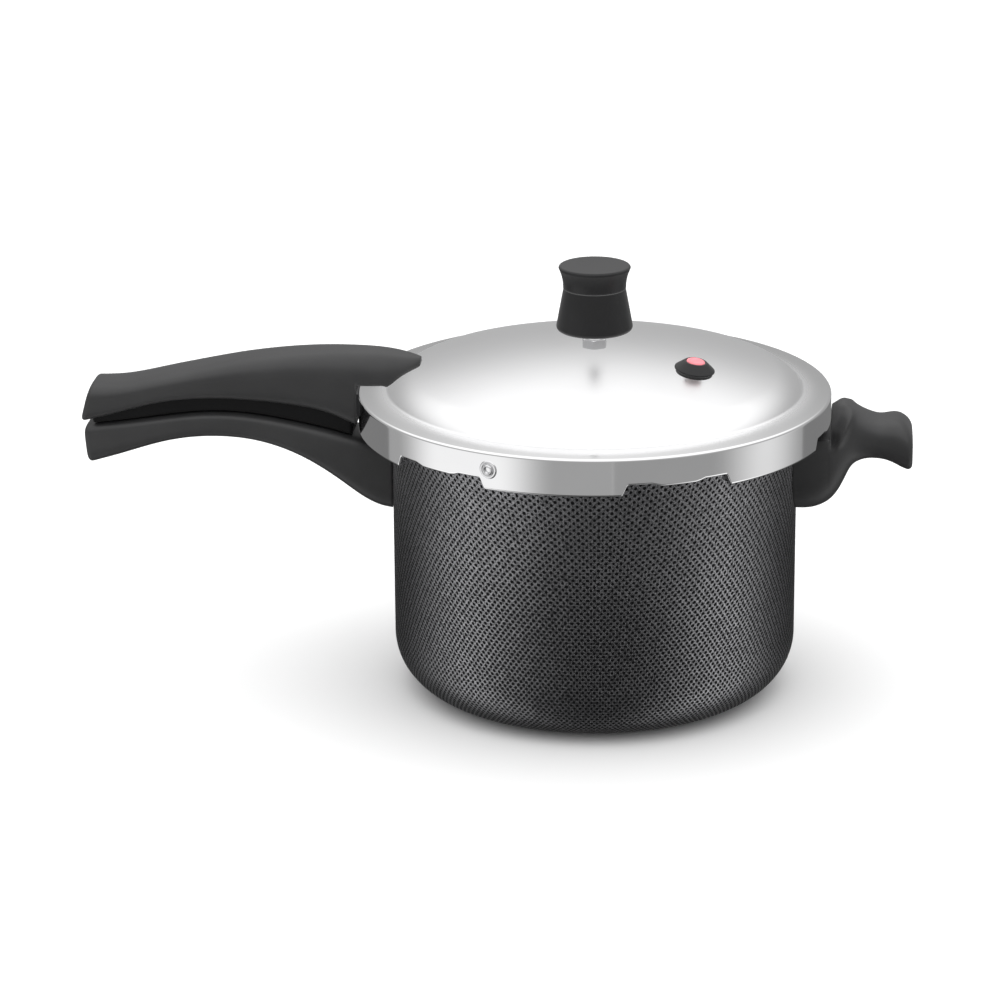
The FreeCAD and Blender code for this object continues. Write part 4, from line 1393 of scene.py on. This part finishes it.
@dataclass
class PressureWeight:
    """Lift-off weight: a conical lower moulding and a flared cap."""

    foot_edge: float = 2.3
    waist_rise: float = 21.7
    waist: float = 15.6
    crown: float = 18.0
    flare: float = 22.0
    crown_edge: float = 1.3
    seam: float = 0.12
    bore: float = 5.0

    def build(self, finish: bpy.types.Material) -> None:
        """Make and dress both mouldings.

        The cap's wall bulges inward from its chord by four times the sag, times the share
        along it, times what is left of 1.

        Args:
            finish: the weight's plastic.
        """
        low, high = box_mm("weight_skirt")
        foot, foot_radius = float(low[2]), float(high[0])
        top = float(box_mm("weight_cap")[1][2])
        waist = foot + self.waist_rise
        skirt = rounded_path([
            (self.bore, foot + 6.0, 0), (10.0, foot + 4.0, 1.0), (11.0, foot, 0.8),
            (foot_radius, foot, self.foot_edge), (self.waist, waist - self.seam, 0.12),
            (self.waist - 1.2, waist - self.seam, 0.2), (0.3, waist - self.seam, 0)], 8)
        place_piece(turned("weight_skirt_moulded", skirt).build([finish]), Body.WEIGHT, Slot.GRIP,
                    "weight_skirt")
        rise = np.linspace(0.0, 1.0, 15)[:, None]
        start = np.array([self.waist + 0.15, waist + 0.35])
        end = np.array([self.crown, top - self.crown_edge])
        chord = end - start
        normal = np.array([-chord[1], chord[0]]) / np.linalg.norm(chord)
        sag = np.linalg.norm(chord) ** 2 / (8.0 * self.flare)
        wall = start + chord * rise + normal * sag * 4.0 * rise * (1.0 - rise)
        foot_part = rounded_path([(0.3, waist, 0), (self.waist - 0.8, waist, 0), tuple(start) + (0,)])
        crown_turn = np.linspace(0.0, math.pi / 2, 7)[1:, None]
        middle = end - np.array([self.crown_edge, 0.0])
        crown = middle + self.crown_edge * np.hstack([np.cos(crown_turn), np.sin(crown_turn)])
        inner = np.array([[self.crown - self.crown_edge - 1.2, top], [10.0, top - 0.1], [0.3, top - 0.15]])
        cap = np.concatenate([foot_part[:-1], wall, crown, inner])
        place_piece(turned("weight_cap_moulded", cap).build([finish]), Body.WEIGHT, Slot.GRIP, "weight_cap")


@dataclass
class SteamVent:
    """Steam pipe: a hexagon flange on the dome, a stem above and a threaded tail below."""

    stem: float = 4.2
    flat: float = 5.8
    corner: float = 6.5
    flange: float = 4.5
    bore: float = 1.6
    pitch: float = 1.25

    def build(self, finish: bpy.types.Material, dome_top: float) -> None:
        """Make and dress the vent.

        The flange's radius follows a hexagon: the flat's distance over the cosine of the
        angle from the middle of a face, held to the corner radius.

        Args:
            finish: the vent's steel.
            dome_top: height of the dome's middle.
        """
        low, high = box_mm("vent_tube")
        tail, top = float(low[2]), float(high[2])
        thread_z = np.linspace(tail + 0.6, dome_top - 2.2, 60)
        thread = self.stem - 0.28 + 0.28 * np.cos(2.0 * math.pi * thread_z / self.pitch)
        foot = np.array([[self.bore, tail], [self.stem - 0.5, tail]])
        neck = rounded_path([
            (self.stem, dome_top - 2.0, 0), (self.stem, dome_top, 0.1), (self.corner, dome_top, 0.3),
            (self.corner, dome_top + self.flange, 0.7), (self.stem - 0.4, dome_top + self.flange, 0.4),
            (self.stem - 0.4, top, 0.6), (self.bore, top, 0.2), (self.bore, top - 1.0, 0)], 5)
        path = np.concatenate([foot, np.stack([thread, thread_z], -1), neck])
        skin = turned("vent_tube_turned", path, 96, looped=True)
        angle = np.linspace(0.0, 2.0 * math.pi, 96, endpoint=False)
        face = (angle + math.pi / 6) % (math.pi / 3) - math.pi / 6
        hexagon = self.flat / np.cos(face)
        radius = np.hypot(skin.rings[..., 0], skin.rings[..., 1])
        wanted = np.where(radius > self.stem + 0.2, np.minimum(radius, hexagon), radius)
        skin.rings[..., :2] *= (wanted / radius)[..., None]
        piece = skin.build([finish])
        place_piece(piece, Body.LID, Slot.STEEL, "vent_tube")
        piece.visible_glossy = False


@dataclass
class SafetyValve:
    """Banded black housing with a cone, and the soft red plug in its crown."""

    distance: float = 58.0
    turn: float = -28.8
    tilt: float = 9.41
    radius: float = 10.0
    lip: float = 1.75
    height: float = 6.2
    crown: float = 5.6
    plug: float = 4.6

    def stand(self, lid: LidShell) -> Matrix:
        """Carries a shape from the upright axis to its place square on the dome.

        Args:
            lid: the lid that it stands on.

        Returns:
            The matrix, in millimetres.
        """
        turn = math.radians(self.turn)
        level = float(lid.surface_height(np.array([self.distance]))[0])
        spot = Vector((self.distance * math.cos(turn), self.distance * math.sin(turn), level))
        return (Matrix.Translation(spot) @ Matrix.Rotation(turn, 4, "Z")
                @ Matrix.Rotation(math.radians(self.tilt), 4, "Y"))

    def build(self, lid: LidShell, finish: bpy.types.Material, soft: bpy.types.Material) -> None:
        """Make and dress the housing and the plug.

        Args:
            lid: the lid that they stand on.
            finish: the housing's plastic.
            soft: the plug's silicone.
        """
        r, top, stem = self.radius, self.height, 6.0
        tail = -lid.sheet - 8.0
        housing = rounded_path([
            (0.4, tail, 0), (stem, tail, 0.4), (stem, -0.3, 0), (r - 0.9, -0.1, 0.3),
            (r - 0.7, 0.95, 0.3), (r - 1.3, 1.2, 0.2), (r - 1.3, 1.5, 0.2), (r, self.lip, 0.35),
            (r, self.lip + 0.75, 0.5), (self.crown, top, 0.45), (self.plug + 0.15, top, 0.25),
            (self.plug + 0.15, top - 1.0, 0.15), (0.4, top - 1.0, 0)], 5)
        skin = aimed(turned("safety_valve_housing_moulded", housing, 96), self.stand(lid))
        place_piece(skin.build([finish]), Body.LID, Slot.GRIP, "safety_valve_housing")
        plug = rounded_path([
            (0.3, top - 0.95, 0), (self.plug, top - 0.95, 0.1), (self.plug, top + 0.15, 0.5),
            (self.plug - 1.1, top + 0.65, 0.5), (self.plug - 1.9, top + 0.35, 0.5),
            (0.3, top + 0.3, 0)], 5)
        skin = aimed(turned("safety_valve_plug_moulded", plug, 72), self.stand(lid))
        place_piece(skin.build([soft]), Body.LID, Slot.PLUG, "safety_valve_plug")


@dataclass
class StopRivet:
    """Hollow rivet in the skirt: a low flange, a groove and a rolled tubular head."""

    turn: float = -111.8
    shank: float = 1.7
    reach: float = 3.3

    def build(self, lid: LidShell, finish: bpy.types.Material) -> None:
        """Make and dress the rivet, aimed outward through the skirt.

        Args:
            lid: the lid that it is set in.
            finish: the rivet's metal.
        """
        low, high = box_mm("lid_stop_rivet")
        level = float(low[2] + high[2]) / 2.0
        path = rounded_path([
            (0.2, -lid.sheet - self.reach, 0), (self.shank, -lid.sheet - self.reach, 0.3),
            (self.shank, -0.5, 0.1), (4.55, -0.35, 0), (4.6, 0.0, 0.1), (4.1, 0.5, 0.4),
            (3.3, 0.42, 0.3), (2.75, 0.12, 0.25), (2.6, 0.9, 0.3), (2.05, 1.35, 0.4),
            (1.45, 0.95, 0.3), (1.2, -0.4, 0.3), (0.2, -0.5, 0)], 5)
        turn = math.radians(self.turn)
        out = Vector((math.cos(turn), math.sin(turn), 0.0))
        aim = (Matrix.Translation(out * lid.radius + Vector((0.0, 0.0, level)))
               @ Matrix.Rotation(turn, 4, "Z") @ Matrix.Rotation(math.pi / 2, 4, "Y"))
        skin = aimed(turned("lid_stop_rivet_rolled", path, 64), aim)
        place_piece(skin.build([finish]), Body.LID, Slot.RIVET, "lid_stop_rivet")


# ------------------------------------------------------------------ studio


@dataclass(frozen=True)
class SoftPanel:
    """A tall panel of light round the cooker: even across its middle, fading at both sides."""

    centre: float
    half_width: float
    fade: float
    strength: float

    def glow(self, turn: np.ndarray) -> np.ndarray:
        """Strength times 1 minus a smooth step from the half width over the fade."""
        away = np.abs((turn - self.centre + 180.0) % 360.0 - 180.0)
        return self.strength * (1.0 - smooth_step(away, self.half_width, self.half_width + self.fade))


@dataclass
class Studio:
    """White floor, soft light from all round, a reflection tent, and the camera.

    The tent's panels are seen only in reflections.  Their brightness goes by the angle round
    the cooker from the camera's side, and by height.
    """

    camera_at: tuple[float, float, float] = (0.1118, -1.8271, 0.7083)
    camera_aim: tuple[float, float, float] = (-0.0464, -0.0195, 0.1010)
    camera_roll: float = -0.0076
    lens: float = 136.9
    skirt_radius: float = 118.7
    panel_turn: float = 72.0
    panel_spread: float = 27.0
    wall_gloom: float = 0.02
    left_glow: float = 1.12
    right_glow: float = 1.22
    floor_glow: float = 0.05
    tent_radius: float = 550.0
    tent_top: float = 1400.0
    tent_low: float = -500.0
    sky_low: float = 0.52
    sky_high: float = 2.4
    room_glow: float = 0.2
    sky_dim: float = 0.4
    sky_bright: float = 1.2
    sky_rise: tuple[float, float] = (290.0, 650.0)
    skirt_panels: tuple[SoftPanel, ...] = (
        SoftPanel(centre=-54.5, half_width=63.0, fade=0.5, strength=0.16),
        SoftPanel(centre=64.0, half_width=55.5, fade=0.5, strength=0.12),
        SoftPanel(centre=-64.0, half_width=16.0, fade=30.0, strength=0.6),
        SoftPanel(centre=90.0, half_width=0.0, fade=34.0, strength=0.44))
    floor_reach: float = 9000.0

    def skirt_band(self, turn: np.ndarray) -> np.ndarray:
        """Brightness of the panels that the skirt mirrors, by the angle on the tent.

        Panels go by the direction of the mirrored ray, which is further round than the place
        on the tent by about the arcsine of the skirt's share of the tent's radius times the
        sine of half the angle.

        Args:
            turn: degrees round the tent from the front.

        Returns:
            The brightness there.
        """
        share = self.skirt_radius / self.tent_radius
        mirrored = turn + np.degrees(np.arcsin(share * np.sin(np.radians(turn / 2.0))))
        return self.room_glow + sum(panel.glow(mirrored) for panel in self.skirt_panels)

    def wall_band(self, turn: np.ndarray) -> np.ndarray:
        """Brightness of the two tall soft panels that the pot's wall mirrors.

        Args:
            turn: degrees round the tent from the front.

        Returns:
            The brightness there.
        """
        left = np.exp(-((turn + self.panel_turn) / self.panel_spread) ** 2)
        right = np.exp(-((turn - self.panel_turn) / self.panel_spread) ** 2)
        return self.wall_gloom + self.left_glow * left + self.right_glow * right

    def glow_at(self, turn: np.ndarray, level: np.ndarray) -> np.ndarray:
        """Brightness of the tent: the wall's panels low down, the skirt's, and the sky.

        Args:
            turn: degrees round the tent from the front.
            level: heights on the tent.

        Returns:
            The brightness there.
        """
        sky = self.sky_dim + (self.sky_bright - self.sky_dim) * smooth_step(level, *self.sky_rise)
        side = self.skirt_band(turn)
        wall = self.wall_band(turn)
        wall = wall + self.floor_glow * (1.0 - smooth_step(level, -240.0, -90.0))
        side = wall + (side - wall) * smooth_step(level, -78.0, -44.0)
        back = smooth_step(np.abs(turn), 112.0, 140.0) * smooth_step(level, 10.0, 60.0)
        rise = smooth_step(level, 60.0, 240.0)
        return side + (sky - side) * np.maximum(back, rise)

    def tent(self) -> bpy.types.Object:
        """A cylinder closed above by a cone, with its brightness at every point.

        Returns:
            The tent, seen only in reflections.
        """
        heights = np.concatenate([np.linspace(self.tent_low, -100.0, 12),
                                  np.linspace(-95.0, 260.0, 72),
                                  np.linspace(280.0, self.tent_top, 50)])
        path = np.stack([np.full(len(heights), self.tent_radius), heights], -1)
        path = np.concatenate([path, [[10.0, self.tent_top + 50.0]]])
        skin = turned("reflection_tent", path, 1440)
        angle = np.degrees(np.arctan2(skin.rings[..., 1], skin.rings[..., 0]))
        turn = (angle - FRONT_TURN + 180.0) % 360.0 - 180.0
        glow = self.glow_at(turn, skin.rings[..., 2])
        glow = np.append(glow.ravel(), [0.1, 1.3])
        piece = skin.build([self.glow_material()])
        layer = piece.data.attributes.new("glow", "FLOAT", "POINT")
        layer.data.foreach_set("value", glow.astype(np.float32))
        piece.visible_camera = False
        piece.visible_diffuse = False
        piece.visible_shadow = False
        piece.visible_transmission = False
        piece.visible_volume_scatter = False
        return piece

    def glow_material(self) -> bpy.types.Material:
        """Emission that follows the tent's own brightness.

        Returns:
            The finished material.
        """
        g = Graph("reflection_panels")
        glow = g.node("ShaderNodeAttribute", {"attribute_name": "glow"}, output="Fac")
        g.finish(g.node("ShaderNodeEmission", inputs={"Strength": glow}))
        g.material.cycles.emission_sampling = "NONE"
        return g.material

    def floor(self) -> bpy.types.Object:
        """A wide white disc under the cooker, seen by everything but reflections.

        Returns:
            The disc.
        """
        g = Graph("paper_floor")
        shade = g.noise(g.place(), 3.0).ranged(0.77, 0.78)
        colour = g.node("ShaderNodeCombineColor", inputs={0: shade, 1: shade, 2: shade})
        material = g.surface(Base_Color=colour, Roughness=0.9, Specular_IOR_Level=0.0)
        thick, drop, inner = 2.0, 0.02, 5.0
        path = np.array([[inner, -thick], [self.floor_reach, -thick],
                         [self.floor_reach, -drop], [inner, -drop]])
        piece = turned("floor", path, 96).build([material])
        piece.visible_glossy = False
        return piece

    def light(self) -> None:
        """Light from every side, strongest overhead; reflections don't show it.

        Its strength grows with the square of the direction's height.  The camera sees white.
        """
        world = bpy.data.worlds.new("skylight")
        world.use_nodes = True
        bpy.context.scene.world = world
        world.cycles_visibility.glossy = False
        g = Graph.over(world.node_tree)
        height = g.parts(g.node("ShaderNodeTexCoord", output="Generated"))[2]
        upward = height.step(-0.1, 0.1) * height * height
        strength = upward * self.sky_high + self.sky_low
        seen = g.node("ShaderNodeLightPath", output="Is Camera Ray")
        strength = seen * (1.0 - strength) + strength
        background = g.node("ShaderNodeBackground", inputs={"Color": (1.0, 1.0, 1.0), "Strength": strength})
        g.finish(background, "ShaderNodeOutputWorld")
        bpy.context.scene.view_settings.view_transform = "Standard"

    def camera(self) -> None:
        """A long lens, aimed a little left of the pot."""
        data = bpy.data.cameras.new("camera")
        data.lens = self.lens
        data.sensor_width = 36.0
        data.clip_end = 50.0
        piece = bpy.data.objects.new("camera", data)
        bpy.context.scene.collection.objects.link(piece)
        aim = Vector(self.camera_aim) - Vector(self.camera_at)
        turn = aim.to_track_quat("-Z", "Y").to_matrix().to_4x4()
        roll = Matrix.Rotation(self.camera_roll, 4, "Z")
        piece.matrix_world = Matrix.Translation(Vector(self.camera_at)) @ turn @ roll
        bpy.context.scene.camera = piece

    def build(self) -> None:
        """Set up everything that isn't part of the object."""
        self.camera()
        self.light()
        self.floor()
        self.tent()


# ------------------------------------------------------------------ frame nodes that stay


@dataclass
class FrameNodes:
    """Screws, rivets, seal and core, which keep the frame's own shapes."""

    steel: tuple[float, float, float] = (0.06, 0.06, 0.062)
    rivet: tuple[float, float, float] = (0.8, 0.8, 0.81)
    seal: tuple[float, float, float] = (0.05, 0.05, 0.054)
    core: tuple[float, float, float] = (0.72, 0.53, 0.25)

    def finishes(self) -> dict[Slot, bpy.types.Material]:
        """The finish of each slot that these nodes use."""
        return {
            Slot.STEEL: SpunMetal("blackened_steel", self.steel, 0.34, 0.3, 1100.0).build(),
            Slot.RIVET: SpunMetal("rivet_metal", self.rivet, 0.26, 0.25, 1100.0).build(),
            Slot.SEAL: Rubber("seal_rubber", self.seal).build(),
            Slot.CORE: SpunMetal("core_brass", self.core, 0.28, 0.3, 1000.0).build(),
        }

    def dress(self) -> None:
        """Give each node that still shows the finish of its slot."""
        finishes = self.finishes()
        slots = {part["node"]: part["material_slot"] for part in frame["record"]["subparts"]}
        for name, node in frame["nodes"].items():
            wanted = Slot(slots[name])
            if node.hide_render or wanted not in finishes:
                continue
            node.data.materials.clear()
            node.data.materials.append(finishes[wanted])
            node.visible_glossy = wanted is not Slot.CORE
            log.info("%s: %s", name, wanted.value)


def main() -> None:
    """Build the studio and every piece of the cooker."""
    logging.basicConfig(level=logging.INFO, format="%(message)s")
    Studio().build()
    pot = PotBody()
    lid = LidShell()
    pot.build()
    lid.build()
    plastic = MouldedPlastic("handle_plastic").build()
    for grip in (LidGrip(lid, pot), PotGrip(lid, pot), HelperGrip(lid, pot)):
        grip.build(plastic)
    # A near-black, less glossy copy of the handle plastic: painted shade for the keel in the gap between
    # the handles.
    keel_shade_finish = MouldedPlastic("painted_shade_keel_plastic", (0.004, 0.004, 0.0042), 0.6, specular=0.15).build()
    PaintedShadeKeel(lid, pot).build(keel_shade_finish)
    dark = MouldedPlastic("weight_plastic", (0.013, 0.013, 0.0135), 0.34, specular=0.3).build()
    PressureWeight().build(dark)
    steel = SpunMetal("vent_steel", (0.66, 0.66, 0.67), 0.2, 0.2, 1100.0).build()
    SteamVent().build(steel, lid.top + lid.dome_rise)
    red = Rubber("plug_silicone", (0.72, 0.19, 0.22), 0.4, 0.1).build()
    SafetyValve().build(lid, dark, red)
    StopRivet().build(lid, SpunMetal("stop_rivet_metal", (0.82, 0.82, 0.83), 0.16, 0.15, 1100.0).build())
    FrameNodes().dress()


if __name__ == "__main__":
    main()
